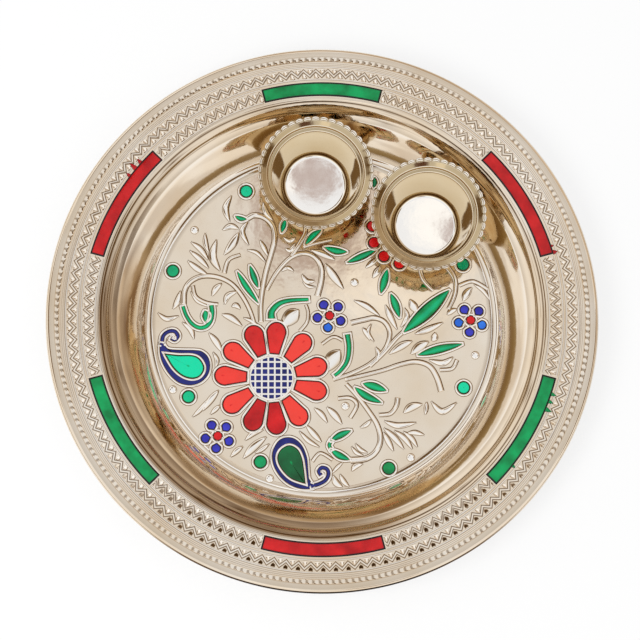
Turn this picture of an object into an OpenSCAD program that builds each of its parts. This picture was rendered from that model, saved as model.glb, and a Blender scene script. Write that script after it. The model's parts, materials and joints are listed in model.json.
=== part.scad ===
// Round offering tray with an enamelled, embossed floor and rim, and two small bowls that stand in it.
// The tray rests on z = 0 and its centre is the origin. Left is -X, the back is +Y.

/* [Tray] */
// Radius of the flat floor
floor_r = 88; // [80:1:110]
// Thickness of the tray's sheet
tray_sheet = 0.8; // [0.6:0.1:1.2]
// Width of the plain flat edge between the patterned floor and the wall
floor_edge_w = 1.2; // [0.5:0.1:3]
// Radius of the hollow curve at the foot of the wall
cove_r = 2.6; // [1.5:0.1:5]
// Radius of the wall's long bulging curve
bulge_r = 72; // [50:1:110]
// Radius of the crease half way up the wall
crease_r = 1.5; // [1.2:0.1:3]
// Width of the gently sloping ledge above the crease
ledge_w = 2.5; // [1:0.1:5]
// Radius of the two curves of the upper wall, a hollow one and then a bulging one
upper_wall_r = 7; // [1.2:0.1:9]
// Width of the sloping strip at the top of the wall
shelf_w = 0.4; // [0.2:0.1:3]
// Radius of the hollow curve between that strip and the rim
upper_cove_r = 1.2; // [1:0.1:4]
// Radius of the edge where the wall turns onto the rim
rim_edge_r = 2.7; // [1.2:0.1:4]
// Radius of the rolled outer edge
roll_r = 1.9; // [1.6:0.1:3]

/* [Rim pattern] */
// Plain strip between the well and the inner zigzag band
rim_margin = 0.6; // [0.3:0.1:2]
// Width of the inner zigzag band, which holds the enamel bars
inner_band_w = 7.4; // [5:0.2:10]
// Width of the outer zigzag band
outer_band_w = 6.8; // [5:0.2:10]
// Width of each fine raised line of the rim
line_w = 0.45; // [0.3:0.05:0.8]
// Gap between the fine raised lines
line_gap = 0.4; // [0.3:0.05:0.8]
// Width of the notched band next to the rolled edge
notch_band_w = 2.5; // [1.5:0.1:4]
// Plain strip between the notched band and the rolled edge
edge_margin = 2.5; // [0.5:0.1:3]
// Height of the rim's raised pattern
rim_relief = 0.3; // [0.2:0.05:0.5]
// Width of a zigzag ridge
zigzag_w = 1.1; // [0.6:0.1:1.6]
// How far a zigzag ridge swings to each side
zigzag_swing = 1.2; // [0.6:0.1:1.4]
// Zigzags round the rim
zigzag_count = 128; // [96:1:140]
// Angle that each enamel bar covers
bar_angle = 29.6; // [20:0.2:40]

/* [Enamel] */
// Height of the floor's raised pattern
floor_relief = 0.35; // [0.25:0.05:0.5]
// How far the enamel stays below the top of the ridges round it
enamel_drop = 0.05; // [0.05:0.05:0.15]
// Width of the metal ridge round each enamel cell
cell_wall = 1.1; // [0.8:0.1:1.4]

/* [Bowls] */
// Radius of a bowl's flat foot
foot_r = 14.5; // [11:0.1:16]
// Thickness of a bowl's sheet
bowl_sheet = 0.6; // [0.5:0.1:0.9]
// Radius of the curve from a bowl's foot to its wall
foot_curve_r = 3.2; // [2:0.1:6]
// Radius of the long curve of a bowl's wall
bowl_wall_r = 211; // [180:1:240]
// Radius of the small curves of a bowl's step and flange
bowl_bend_r = 0.8; // [0.6:0.1:1.2]
// Width of the step below a bowl's flange
bowl_step_w = 0.9; // [0.5:0.1:2]
// Rise from the step to the flange
bowl_step_rise = 0.6; // [0.3:0.1:1.5]
// Width of a bowl's flange
flange_w = 4.4; // [3.5:0.1:6]
// Depth of the scallops in the flange's edge
scallop_depth = 0.7; // [0.3:0.1:1]
// Scallops round a bowl's flange
scallop_count = 42; // [30:1:50]
// Gap from the left bowl's foot to the end of the flat floor
left_bowl_gap = 2.4; // [0.3:0.1:6]
// Gap from the right bowl's foot to the end of the flat floor
right_bowl_gap = 0.7; // [0.3:0.1:6]
// Gap between the flanges of the two bowls
bowls_gap = 1.9; // [0.5:0.1:6]
// Direction from the tray's centre to the left bowl
left_bowl_angle = 92.6; // [85:0.1:100]

/* [Hidden] */

$fn = 128;
silver = [0.82, 0.77, 0.67];
brass = [0.80, 0.68, 0.42];
red = [0.80, 0.10, 0.10];
green = [0.03, 0.60, 0.33];
blue = [0.25, 0.25, 0.72];
light_blue = [0.20, 0.48, 0.90];
navy = [0.12, 0.12, 0.42];

// Slopes of the sheet, in degrees from level
cove_slope = 52;
crease_slope = 37.5;
ledge_slope = 24;
upper_wall_slope = 50;
rim_edge_slope = 40;
roll_turn = 290;
foot_slope = 74;
bowl_wall_slope = 80;
bowl_step_slope = 10;
bowl_rise_slope = 65;
flange_slope = 20;
// Degrees of turn between two points of a curved stretch of sheet
turn_step = 9;

// A sheet's middle line is walked in legs. Each leg is [length of a straight stretch, or radius, angle to turn]
function leg_steps(leg) = max(1, ceil(abs(leg[1]) / turn_step));
function leg_end(p, leg) = leg[1] == 0
    ? [p[0] + leg[0] * cos(p[2]), p[1] + leg[0] * sin(p[2]), p[2]]
    : let (side = sign(leg[1]), to = p[2] + leg[1])
        [p[0] + side * leg[0] * (sin(to) - sin(p[2])), p[1] + side * leg[0] * (cos(p[2]) - cos(to)), to];
function leg_points(p, leg) = let (n = leg_steps(leg))
    [for (i = [1:n]) leg_end(p, [leg[1] == 0 ? leg[0] * i / n : leg[0], leg[1] * i / n])];
function walk(p, legs, i = 0) = i == len(legs)
    ? []
    : concat(leg_points(p, legs[i]), walk(leg_end(p, legs[i]), legs, i + 1));
function walk_end(p, legs, i = 0) = i == len(legs) ? p : walk_end(leg_end(p, legs[i]), legs, i + 1);
function beside(p, d) = [p[0] - d * sin(p[2]), p[1] + d * cos(p[2])];

module sheet_section(start, legs, thick) {
    points = concat([start], walk(start, legs));
    last = len(points) - 1;
    polygon(concat(
        [for (p = points) beside(p, thick / 2)],
        [for (i = [last:-1:0]) beside(points[i], -thick / 2)]));
}

// The tray's section, from the centre of the floor to the rolled edge
tray_start = [0, tray_sheet / 2, 0];
wall_legs = [
    [floor_r + floor_edge_w, 0],
    [cove_r, cove_slope],
    [bulge_r, crease_slope - cove_slope],
    [crease_r, ledge_slope - crease_slope],
    [ledge_w, 0],
    [upper_wall_r, upper_wall_slope - ledge_slope],
    [upper_wall_r, ledge_slope - upper_wall_slope],
    [shelf_w, 0],
    [upper_cove_r, rim_edge_slope - ledge_slope],
    [rim_edge_r, -rim_edge_slope]];
well_edge = walk_end(tray_start, wall_legs);
rim_z = well_edge[1] + tray_sheet / 2;
floor_z = tray_sheet;

// The rim's bands, from the well outwards
bar_in_r = well_edge[0] + rim_margin;
bar_out_r = bar_in_r + inner_band_w;
outer_band_r = bar_out_r + line_w + 2 * line_gap;
fine_line_count = 3;
fine_lines_r = outer_band_r + outer_band_w;
notch_band_r = fine_lines_r + line_gap + fine_line_count * (line_w + line_gap);
roll_start_r = notch_band_r + notch_band_w + edge_margin;
tray_legs = concat(wall_legs, [
    [roll_start_r - well_edge[0], 0],
    [roll_r - tray_sheet / 2, -roll_turn]]);

// The raised pattern starts a little inside the sheet, and the scallops' cut runs past the bowl
sink = 0.2;
overrun = 1;

// The bowls' section and places
bowl_start = [0, bowl_sheet / 2, 0];
bowl_legs = [
    [foot_r, 0],
    [foot_curve_r, foot_slope],
    [bowl_wall_r, bowl_wall_slope - foot_slope],
    [bowl_bend_r, bowl_step_slope - bowl_wall_slope],
    [bowl_step_w, 0],
    [bowl_bend_r, bowl_rise_slope - bowl_step_slope],
    [bowl_step_rise, 0],
    [bowl_bend_r, flange_slope - bowl_rise_slope],
    [flange_w, 0]];
bowl_end = walk_end(bowl_start, bowl_legs);
bowl_r = bowl_end[0];
bowl_h = bowl_end[1] + bowl_sheet;
bowl_z = floor_z + floor_relief;
left_bowl_reach = floor_r + floor_edge_w - foot_r - left_bowl_gap;
right_bowl_reach = floor_r + floor_edge_w - foot_r - right_bowl_gap;
bowl_spacing = 2 * bowl_r + bowls_gap;
bowls_angle = acos((pow(left_bowl_reach, 2) + pow(right_bowl_reach, 2) - pow(bowl_spacing, 2))
    / (2 * left_bowl_reach * right_bowl_reach));
right_bowl_angle = left_bowl_angle - bowls_angle;

// The floor's pattern was measured on a photograph taken from a little in front of the tray.
// These are the floor's centre and radius there, in pixels, and how its slant shortens and tapers the floor.
centre_px = [321.9, 322.5];
floor_px = 171.1;
upright_share = 0.983;
taper_share = 0.0128;
pixel = floor_r / floor_px;
function on_floor(p) =
    let (v = (centre_px[1] - p[1]) / floor_px,
        y = v / (upright_share - v * taper_share),
        x = (p[0] - centre_px[0]) / floor_px * (1 + y * taper_share))
    floor_r * [x, y];

// Main flower, in pixels: petals at hand-set angles round a chequered centre
main_flower_px = [271.4, 378];
petal_angles = [84, 112, 145, 177, 214, 247, 276, 305, 344, 14, 49];
petal_in_px = 24.2;
petal_out_px = 57;
petal_base_px = 10.5;
petal_w_px = 20;
petal_end_px = 11;
checks_r_px = 20.5;
check_px = 4.5;
check_pitch_px = 6.45;
check_reach = 3;

// Small flowers, in pixels: five drop-shaped petals round a red heart
small_flowers_px = [[329.6, 315.6], [470.7, 320.2], [217.5, 435.8]];
small_petal_turns = [118, 120, 119];
light_petals = [[0, 3], [1, 2], [1, 4]];
small_petal_in_px = 6.8;
small_petal_mid_px = 12.2;
small_petal_r_px = 4.9;
small_heart_r_px = 4.9;

// Flower half hidden by the right bowl, in pixels: round petals in a ring
hidden_flower_px = [405, 232];
hidden_petal_count = 12;
hidden_petal_turn = 20;
hidden_petal_mid_px = 33;
hidden_petal_r_px = 6;

// Paisleys, in pixels: the drop from its tip round to its tip, the band's outside, and the curled tail
drops_px = [
    [[164.5, 353.5], [178, 355], [192, 355.3], [199.5, 358.5], [204, 366], [203, 372.5], [198, 377.5],
        [190, 378.5], [181, 375], [172.5, 367], [164.5, 353.5]],
    [[305, 483.5], [303.5, 470], [301.5, 458], [297, 449], [289, 445.2], [281, 449], [277.3, 456],
        [278.5, 464], [284, 472.5], [292, 479], [305, 483.5]]];
bands_px = [
    [[160.3, 343], [160, 352], [162, 361], [166.5, 370], [172.5, 377.5], [180, 383], [190, 385],
        [200, 382.5], [207.5, 375.5], [210, 366], [208, 357], [202, 351.5], [195, 350.2], [184, 350],
        [172, 349.5], [167, 348], [163.6, 343]],
    [[308.3, 478], [307.5, 468], [306.4, 457], [302, 446], [295, 439], [287, 437.2], [279, 440],
        [273.5, 448], [271.8, 456.5], [273.6, 466], [279, 475.5], [287, 483], [297, 487.6], [306, 488.8],
        [313, 487.2], [308.3, 478]]];
tails_px = [
    [[161.8, 345], [163.5, 336], [169, 331.5], [175, 331.5], [178, 336], [175, 339.7], [171.3, 338]],
    [[311, 485.5], [318, 484], [325, 480], [328, 474], [326.5, 469], [321.5, 467.5], [318.5, 471],
        [320.5, 475]]];
tail_w_px = 3.6;

// Leaves, in pixels: each is [base, middle, tip, width]
green_leaves_px = [
    [[237.7, 272], [246, 286], [258.4, 303], 5.2],
    [[250.3, 266], [254, 277], [258.2, 287.5], 5.6],
    [[306, 244.5], [313, 236], [321.5, 230], 6],
    [[282, 232.5], [284, 226], [285.8, 219.5], 5],
    [[325, 247.5], [336, 251], [347, 252], 6.5],
    [[347.5, 262.5], [362, 256.5], [376, 250], 6.2],
    [[387.5, 269.5], [384.5, 281], [381, 293], 7.4],
    [[391, 294], [395.5, 305], [399.5, 317], 7.4],
    [[404, 332], [427, 311.5], [449, 290.5], 13.5],
    [[418, 355], [438, 349.5], [462, 344], 8],
    [[363, 383.5], [374, 386.5], [386, 390.5], 8],
    [[355, 387.5], [366, 396], [381, 402.5], 7],
    [[350.5, 430.5], [340, 435], [330.5, 440.5], 6.5],
    [[330.5, 449.5], [339, 455.3], [349, 459.5], 6.5],
    [[236, 216.5], [241, 219], [247, 219.5], 4.5],
    [[374.5, 178], [375.2, 183], [374, 188], 4.5],
    [[205, 310.8], [206.3, 316], [205.4, 321.5], 7.5]];
// Curved green strokes, in pixels: each is [points of its middle line, width at its start, width at its end]
green_strokes_px = [
    [[[183.3, 306.5], [186.5, 315.5], [192, 323.5], [199, 327.6], [206, 326.6], [210.8, 321], [212.3, 313],
        [211.5, 305.5]], 3.2, 4.4],
    [[[271.5, 318.5], [272, 311.5], [279, 304], [290, 300.6], [308.5, 299.5]], 7, 3],
    [[[347.3, 334.5], [349, 347.5], [347, 361], [340.5, 370.5], [334.5, 375.5]], 5, 3],
    [[[331.2, 440.5], [329, 445], [331, 449.5]], 3.2, 3.2]];
// Enamelled dots and bare dots, in pixels
green_dots_px = [[246.8, 191.8], [173.2, 271.2], [188.5, 396.6], [260, 461.7], [388.4, 468.1],
    [463.5, 387.7], [463.1, 264.7]];
green_dot_r_px = 6.6;
bare_dots_px = [[195, 230.5], [354.5, 282.6], [172.8, 389.5], [269.3, 478.3], [475.2, 355.3],
    [345, 406], [410.4, 457.4], [300, 172], [330, 190]];
bare_dot_r_px = 3.8;

// Stems of the vines, in pixels: each is [points of its middle line, width at its start, width at its end]
stems_px = [
    [[[261, 322], [261, 302], [265.5, 275], [271.5, 254], [275, 239], [273, 226], [265, 218], [255, 215.5],
        [247.5, 219]], 4, 5],
    [[[256.5, 332], [251, 313], [243, 297], [232, 284], [218, 277.3], [203, 276.3], [191, 281.5],
        [185, 291], [184, 304]], 3, 4.5],
    [[[267, 290], [277, 272.5], [290, 258.5], [303, 253.5], [314, 256.5], [321, 266.5], [321.5, 280],
        [317.5, 296]], 3, 5],
    [[[333, 379.5], [352, 373], [371, 363], [385, 349], [389.8, 334], [385, 322.5], [375, 318],
        [363, 320], [351, 322.8]], 3, 4.5],
    [[[370, 366], [384, 352.5], [396, 338.5], [405, 330.5]], 3, 3.5],
    [[[345, 379.5], [380, 371], [400, 364.5], [416, 361.8], [429, 366], [436.5, 377], [441, 391]], 3, 5],
    [[[346, 384], [357, 396], [368, 410.5], [377, 425], [380, 440], [375, 452], [365, 458.5],
        [350.5, 460]], 3, 5.5],
    [[[448, 268], [455, 279.5], [455, 294], [448.5, 309]], 4.5, 3],
    [[[292, 256], [300, 243.5], [306, 231], [303, 214], [309, 197], [322, 186]], 3.5, 3],
    [[[338, 398.5], [350, 398], [356.5, 405], [350, 417.5]], 3, 3],
    [[[379, 415], [390, 413.5], [396, 406], [397.5, 398]], 3, 4],
    [[[420, 268], [423.5, 280], [433, 290.5]], 3.5, 2.5],
    [[[459.5, 285.5], [473, 281.5], [487.5, 289]], 3, 3],
    [[[440, 370], [452, 368.5], [457, 360]], 3, 3],
    [[[240.5, 255], [229, 260], [224.5, 273]], 2.5, 3.5],
    [[[193, 286], [196, 296.5], [206, 302.5], [218, 304.5]], 3, 2.5],
    [[[312, 461], [320, 453], [332, 459.5]], 2.5, 2.5]];
// Bare raised leaves, in pixels: each is [base, middle, tip, width]
bare_leaves_px = [
    [[248, 222], [242.5, 232], [249, 245.5], 5],
    [[247.5, 250.5], [257, 253], [266, 262.5], 3.5],
    [[260, 240.5], [264, 247.5], [268, 256], 4.5],
    [[232, 196], [226, 209], [230, 222], 6],
    [[223, 230.5], [231, 226.5], [239, 229], 5.5],
    [[239, 233], [233, 244], [224.5, 255], 7.5],
    [[220.5, 271], [213, 257], [217, 240], 7.5],
    [[191.5, 242.5], [201, 249.5], [208.5, 260], 5],
    [[190, 251], [200, 259], [209, 268.5], 5],
    [[188, 261], [197, 268.5], [208, 275], 5.5],
    [[205.5, 233.5], [206, 243.5], [209, 252.5], 4.5],
    [[191, 291.5], [198, 301.5], [212, 307.5], 3],
    [[212.5, 296], [216, 289], [222, 283.5], 5.5],
    [[225, 304.5], [228, 296], [237.5, 291.5], 5.5],
    [[232, 307], [236, 305.5], [240.5, 309], 5],
    [[173.5, 309], [178, 301], [181, 291], 5.5],
    [[158, 313], [167, 319], [179, 316], 4.5],
    [[222, 314.5], [231.5, 318], [242, 326], 6],
    [[243.5, 318], [252.5, 321.5], [260, 329], 3.5],
    [[182.5, 322.5], [190.5, 329], [194, 339], 5],
    [[209, 333], [216, 341.5], [222, 352], 6],
    [[213, 352], [217, 360], [215.5, 367], 4],
    [[302, 274.5], [307, 281.5], [315, 281], 5],
    [[303, 282], [308.5, 286.5], [315.5, 287], 3],
    [[281.5, 271.5], [288, 268], [294, 271.5], 3.5],
    [[312, 250.5], [323, 254], [335, 260], 6.5],
    [[325.5, 264], [333, 275.5], [343.5, 289], 7.5],
    [[263.5, 203], [266.5, 213], [273, 220.5], 5],
    [[284, 238], [290, 241], [296, 237.5], 4],
    [[285.5, 249], [291, 250.5], [296, 243], 4.5],
    [[362.5, 328], [366, 332.5], [370, 340], 4.5],
    [[371, 324], [368, 333], [374, 341.5], 3.5],
    [[375.5, 347], [378.5, 354.5], [375.5, 363], 5],
    [[354, 300.5], [367, 306.5], [379.5, 316], 5.5],
    [[385.5, 305], [390, 316], [397, 329.5], 5.5],
    [[404.5, 308], [407, 317], [401, 327], 4.5],
    [[389, 354], [401, 346], [412, 341], 7],
    [[411, 354], [419, 347], [428.5, 341.5], 8.5],
    [[432, 341], [434.5, 337.5], [435, 332.5], 6.5],
    [[415, 334], [428, 329.5], [443, 322.5], 6],
    [[410, 299.5], [413.5, 306.5], [418, 312.5], 8],
    [[429, 360], [443, 363], [453, 357], 5.5],
    [[463.5, 301], [466.5, 294], [472, 287.5], 7],
    [[474, 284.5], [483, 290.5], [490, 300], 3.5],
    [[447.5, 315], [451, 311.5], [457, 309], 5],
    [[431, 401.5], [442, 411.5], [456.5, 402.5], 6],
    [[360, 427.5], [366, 424.5], [371, 419.5], 4],
    [[351, 446.5], [356, 452.5], [363, 455.5], 3.5],
    [[355, 443.5], [360, 449.5], [367, 452.5], 3.5],
    [[403.5, 413], [411, 407], [422, 404], 7.5],
    [[426.5, 402], [426, 408], [425, 414.5], 4],
    [[384, 421], [398, 425.5], [416, 422.5], 5.5],
    [[383.5, 428], [394, 437.5], [403.5, 449], 5.5],
    [[394, 430.5], [404.5, 438.5], [412, 449], 5],
    [[403, 431.5], [411, 438], [417, 447], 4.5],
    [[407, 433], [415, 432.5], [424, 435], 4.5],
    [[383, 432], [388, 441.5], [393, 451], 5],
    [[331.5, 473], [337, 467], [343, 461.5], 3],
    [[332.5, 475], [335.5, 482.5], [342, 487], 6],
    [[339.5, 474], [343, 481], [348.5, 486.5], 4.5],
    [[351.5, 471], [355, 466], [362.5, 463.5], 5],
    [[305.5, 424.5], [313.5, 434], [321, 442], 5.5],
    [[299, 431], [308, 440.5], [319, 447], 4],
    [[314, 408], [321, 414], [327, 422.5], 5],
    [[326.5, 407], [334, 414.5], [341.5, 424], 6.5],
    [[266, 436.5], [253.5, 446.5], [243, 458], 7.5],
    [[263, 429.5], [253, 433], [245, 440], 5],
    [[242.5, 446], [236.5, 450.5], [230.5, 456.5], 5],
    [[269, 443.5], [262, 449], [255, 453], 3.5],
    [[218.5, 390], [211, 399], [202.5, 410.5], 6],
    [[208, 399], [200.5, 409], [192.5, 416.5], 4],
    [[220, 405], [215.5, 409], [210.5, 414], 4],
    [[281, 327], [291.5, 316.5], [299, 310], 15],
    [[324, 372], [333, 359], [340, 350], 15],
    [[366, 268], [372, 263], [378.5, 258], 5],
    [[373, 278], [377, 272], [380.5, 266], 6]];

// Smooth curve through hand-set points
function spline_at(a, b, c, d, t) = 0.5 * (2 * b + (c - a) * t + (2 * a - 5 * b + 4 * c - d) * t * t
    + (3 * b - a - 3 * c + d) * t * t * t);
function spline(points, steps) = let (n = len(points))
    concat([for (i = [0:n - 2]) for (k = [0:steps - 1])
        spline_at(points[max(i - 1, 0)], points[i], points[i + 1], points[min(i + 2, n - 1)], k / steps)],
        [points[n - 1]]);
function heading(line, i) = let (d = line[min(i + 1, len(line) - 1)] - line[max(i - 1, 0)]) d / norm(d);
// Outline of a band that follows a line and has a half width at each of its points
function band_outline(line, halves) = let (last = len(line) - 1)
    concat(
        [for (i = [0:last]) let (d = heading(line, i)) line[i] + halves[i] * [-d[1], d[0]]],
        [for (i = [last:-1:0]) let (d = heading(line, i)) line[i] - halves[i] * [-d[1], d[0]]]);
function floor_line(points) = [for (p = points) on_floor(p)];

leaf_steps = 3;
stem_steps = 2;
blunt_share = 0.06;
module leaf(row) {
    line = spline(floor_line([row[0], row[1], row[2]]), leaf_steps);
    last = len(line) - 1;
    polygon(band_outline(line, [for (i = [0:last]) row[3] * pixel / 2 * max(blunt_share, sin(180 * i / last))]));
}
module stroke(row) {
    line = spline(floor_line(row[0]), stem_steps);
    last = len(line) - 1;
    polygon(band_outline(line, [for (i = [0:last]) pixel / 2 * (row[1] + (row[2] - row[1]) * i / last)]));
}
module at_floor(place) {
    translate(on_floor(place)) children();
}

// A petal points along X: a straight-sided base, and a round end
cap_turn = 22.5;
module petal(in_px, out_px, base_px, w_px, end_px) {
    polygon(concat([[in_px, -base_px / 2]],
        [for (a = [-90:cap_turn:90]) [out_px - end_px + end_px * cos(a), w_px / 2 * sin(a)]],
        [[in_px, base_px / 2]]) * pixel);
}
module drop_petal(in_px, mid_px, r_px) {
    open = 180 - acos(r_px / (mid_px - in_px + r_px));
    polygon(concat([[in_px, 0]], [for (i = [-4:4]) [mid_px, 0] + r_px * [cos(i / 4 * open), sin(i / 4 * open)]])
        * pixel);
}

// Outlines of the enamel cells
module main_petals_outline() {
    at_floor(main_flower_px)
        for (a = petal_angles)
            rotate(a) petal(petal_in_px, petal_out_px, petal_base_px, petal_w_px, petal_end_px);
}
module checks_outline() {
    at_floor(main_flower_px)
        intersection() {
            circle(r = checks_r_px * pixel, $fn = 48);
            for (i = [-check_reach:check_reach], j = [-check_reach:check_reach])
                translate([i, j] * check_pitch_px * pixel) square(check_px * pixel, center = true);
        }
}
module small_petals_outline(light) {
    for (f = [0:len(small_flowers_px) - 1])
        at_floor(small_flowers_px[f])
            for (k = [0:4])
                if (light == (len([for (p = light_petals) if (p == [f, k]) k]) > 0))
                    rotate(small_petal_turns[f] - 72 * k)
                        drop_petal(small_petal_in_px, small_petal_mid_px, small_petal_r_px);
}
module hearts_outline() {
    for (place = small_flowers_px)
        at_floor(place) circle(r = small_heart_r_px * pixel, $fn = 24);
}
module hidden_petals_outline() {
    at_floor(hidden_flower_px)
        for (k = [0:hidden_petal_count - 1])
            rotate(hidden_petal_turn + 360 / hidden_petal_count * k)
                translate([hidden_petal_mid_px * pixel, 0]) circle(r = hidden_petal_r_px * pixel, $fn = 16);
}
module drops_outline() {
    for (drop = drops_px)
        polygon(spline(floor_line(drop), stem_steps));
}
module borders_outline() {
    difference() {
        for (k = [0:1]) {
            polygon(spline(floor_line(bands_px[k]), stem_steps));
            stroke([tails_px[k], tail_w_px, tail_w_px]);
        }
        offset(delta = cell_wall) drops_outline();
    }
}
module green_leaves_outline() {
    for (row = green_leaves_px)
        leaf(row);
    for (row = green_strokes_px)
        stroke(row);
}
module dots_outline() {
    for (place = green_dots_px)
        at_floor(place) circle(r = green_dot_r_px * pixel, $fn = 24);
}
module cells_outline() {
    main_petals_outline();
    checks_outline();
    small_petals_outline(true);
    small_petals_outline(false);
    hearts_outline();
    hidden_petals_outline();
    drops_outline();
    borders_outline();
    green_leaves_outline();
    dots_outline();
}

// Enamel lies on the floor between the ridges of its cell
module fill_cells() {
    translate([0, 0, floor_z])
        linear_extrude(floor_relief - enamel_drop) children();
}

// Raised pattern of the floor: ridges round the cells, the checked disc, stems, bare leaves and dots
module floor_pattern_outline() {
    offset(delta = cell_wall) cells_outline();
    at_floor(main_flower_px) circle(r = checks_r_px * pixel + cell_wall, $fn = 48);
    for (row = stems_px)
        stroke(row);
    for (row = bare_leaves_px)
        leaf(row);
    for (place = bare_dots_px)
        at_floor(place) circle(r = bare_dot_r_px * pixel, $fn = 16);
}
module floor_pattern() {
    translate([0, 0, floor_z - sink])
        linear_extrude(floor_relief + sink)
            difference() {
                floor_pattern_outline();
                cells_outline();
            }
}

// Rings and zigzags of the rim
module rim_ring(in_r, w) {
    translate([0, 0, rim_z - sink])
        rotate_extrude() translate([in_r, 0]) square([w, rim_relief + sink]);
}
function zigzag_points(mid_r) = [for (i = [0:2 * zigzag_count - 1])
    let (r = mid_r + (i % 2 == 0 ? zigzag_swing : -zigzag_swing), a = 180 / zigzag_count * i)
    r * [cos(a), sin(a)]];
module zigzag(mid_r) {
    difference() {
        polygon(zigzag_points(mid_r + zigzag_w / 2));
        polygon(zigzag_points(mid_r - zigzag_w / 2));
    }
}
module rim_pattern() {
    translate([0, 0, rim_z - sink])
        linear_extrude(rim_relief + sink) {
            zigzag(outer_band_r + outer_band_w / 2);
            difference() {
                zigzag((bar_in_r + bar_out_r) / 2);
                for (middle = bar_angles)
                    bar_sector(middle);
            }
        }
    rim_ring(bar_out_r + line_gap, line_w);
    for (i = [0:fine_line_count - 1])
        rim_ring(fine_lines_r + line_gap + i * (line_w + line_gap), line_w);
    rim_ring(notch_band_r, notch_band_w);
}

// A bar is a short arc of the inner band, and its middle lies at the given angle
bar_angles = [30, 90, 150, 210, 270, 330];
module bar_body(middle, bottom, height) {
    translate([0, 0, bottom])
        rotate(middle - bar_angle / 2)
            rotate_extrude(angle = bar_angle)
                translate([bar_in_r, 0]) square([inner_band_w, height]);
}
module rim_bar(middle) {
    bar_body(middle, rim_z, rim_relief - enamel_drop);
}
module bar_sector(middle) {
    reach = 2 * bar_out_r;
    half = bar_angle / 2;
    polygon(reach * [[0, 0], [cos(middle - half), sin(middle - half)], [cos(middle), sin(middle)],
        [cos(middle + half), sin(middle + half)]]);
}

module tray() {
    color(silver)
        union() {
            rotate_extrude() sheet_section(tray_start, tray_legs, tray_sheet);
            rim_pattern();
            floor_pattern();
        }
}

// A bowl is turned from sheet, and its flange is cut to scallops
scallop_points = 6;
module scalloped_disc() {
    n = scallop_count * scallop_points;
    polygon([for (i = [0:n - 1])
        (bowl_r - scallop_depth * (1 - abs(sin(180 * i / scallop_points)))) * [cos(360 * i / n), sin(360 * i / n)]]);
}
module bowl(angle, reach) {
    color(brass)
        translate([reach * cos(angle), reach * sin(angle), bowl_z])
            intersection() {
                rotate_extrude() sheet_section(bowl_start, bowl_legs, bowl_sheet);
                translate([0, 0, -overrun]) linear_extrude(bowl_h + 2 * overrun) scalloped_disc();
            }
}
module left_bowl() {
    bowl(left_bowl_angle, left_bowl_reach);
}
module right_bowl() {
    bowl(right_bowl_angle, right_bowl_reach);
}

module red_bar_right() {
    color(red) rim_bar(bar_angles[0]);
}
module green_bar_back() {
    color(green) rim_bar(bar_angles[1]);
}
module red_bar_left() {
    color(red) rim_bar(bar_angles[2]);
}
module green_bar_left() {
    color(green) rim_bar(bar_angles[3]);
}
module red_bar_front() {
    color(red) rim_bar(bar_angles[4]);
}
module green_bar_right() {
    color(green) rim_bar(bar_angles[5]);
}
module main_flower_petals() {
    color(red) fill_cells() main_petals_outline();
}
module main_flower_checks() {
    color(navy) fill_cells() checks_outline();
}
module small_flower_petals() {
    color(blue) fill_cells() small_petals_outline(false);
}
module light_blue_petals() {
    color(light_blue) fill_cells() small_petals_outline(true);
}
module small_flower_hearts() {
    color(red) fill_cells() hearts_outline();
}
module half_hidden_flower_petals() {
    color(red) fill_cells() hidden_petals_outline();
}
module paisley_drops() {
    color(green) fill_cells() drops_outline();
}
module paisley_borders() {
    color(navy) fill_cells() borders_outline();
}
module green_leaves() {
    color(green) fill_cells() green_leaves_outline();
}
module green_dots() {
    color(green) fill_cells() dots_outline();
}

tray();
left_bowl();
right_bowl();
red_bar_right();
green_bar_back();
red_bar_left();
green_bar_left();
red_bar_front();
green_bar_right();
main_flower_petals();
main_flower_checks();
small_flower_petals();
light_blue_petals();
small_flower_hearts();
half_hidden_flower_petals();
paisley_drops();
paisley_borders();
green_leaves();
green_dots();
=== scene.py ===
import json
import math
from itertools import cycle

import bpy
import numpy as np
from mathutils import Matrix, Vector

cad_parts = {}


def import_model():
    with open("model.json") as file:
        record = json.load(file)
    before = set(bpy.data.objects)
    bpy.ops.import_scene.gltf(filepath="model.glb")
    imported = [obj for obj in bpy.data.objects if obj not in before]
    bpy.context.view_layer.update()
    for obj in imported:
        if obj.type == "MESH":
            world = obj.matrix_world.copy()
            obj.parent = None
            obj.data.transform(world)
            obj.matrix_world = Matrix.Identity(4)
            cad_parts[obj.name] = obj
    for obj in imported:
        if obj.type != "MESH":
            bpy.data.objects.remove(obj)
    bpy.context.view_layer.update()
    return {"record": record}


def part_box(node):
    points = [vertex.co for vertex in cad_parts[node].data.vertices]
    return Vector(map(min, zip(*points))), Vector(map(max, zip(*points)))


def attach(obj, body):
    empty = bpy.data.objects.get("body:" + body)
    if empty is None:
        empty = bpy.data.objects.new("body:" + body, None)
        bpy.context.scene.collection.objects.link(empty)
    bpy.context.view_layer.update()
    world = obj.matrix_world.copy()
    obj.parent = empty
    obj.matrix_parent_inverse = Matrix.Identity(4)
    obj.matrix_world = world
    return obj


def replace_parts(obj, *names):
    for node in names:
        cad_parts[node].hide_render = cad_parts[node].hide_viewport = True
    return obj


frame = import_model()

MM = 0.001
TRAY_LOW, TRAY_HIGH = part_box("tray")
TRAY_R = (TRAY_HIGH.x - TRAY_LOW.x) / 2 / MM

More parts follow.
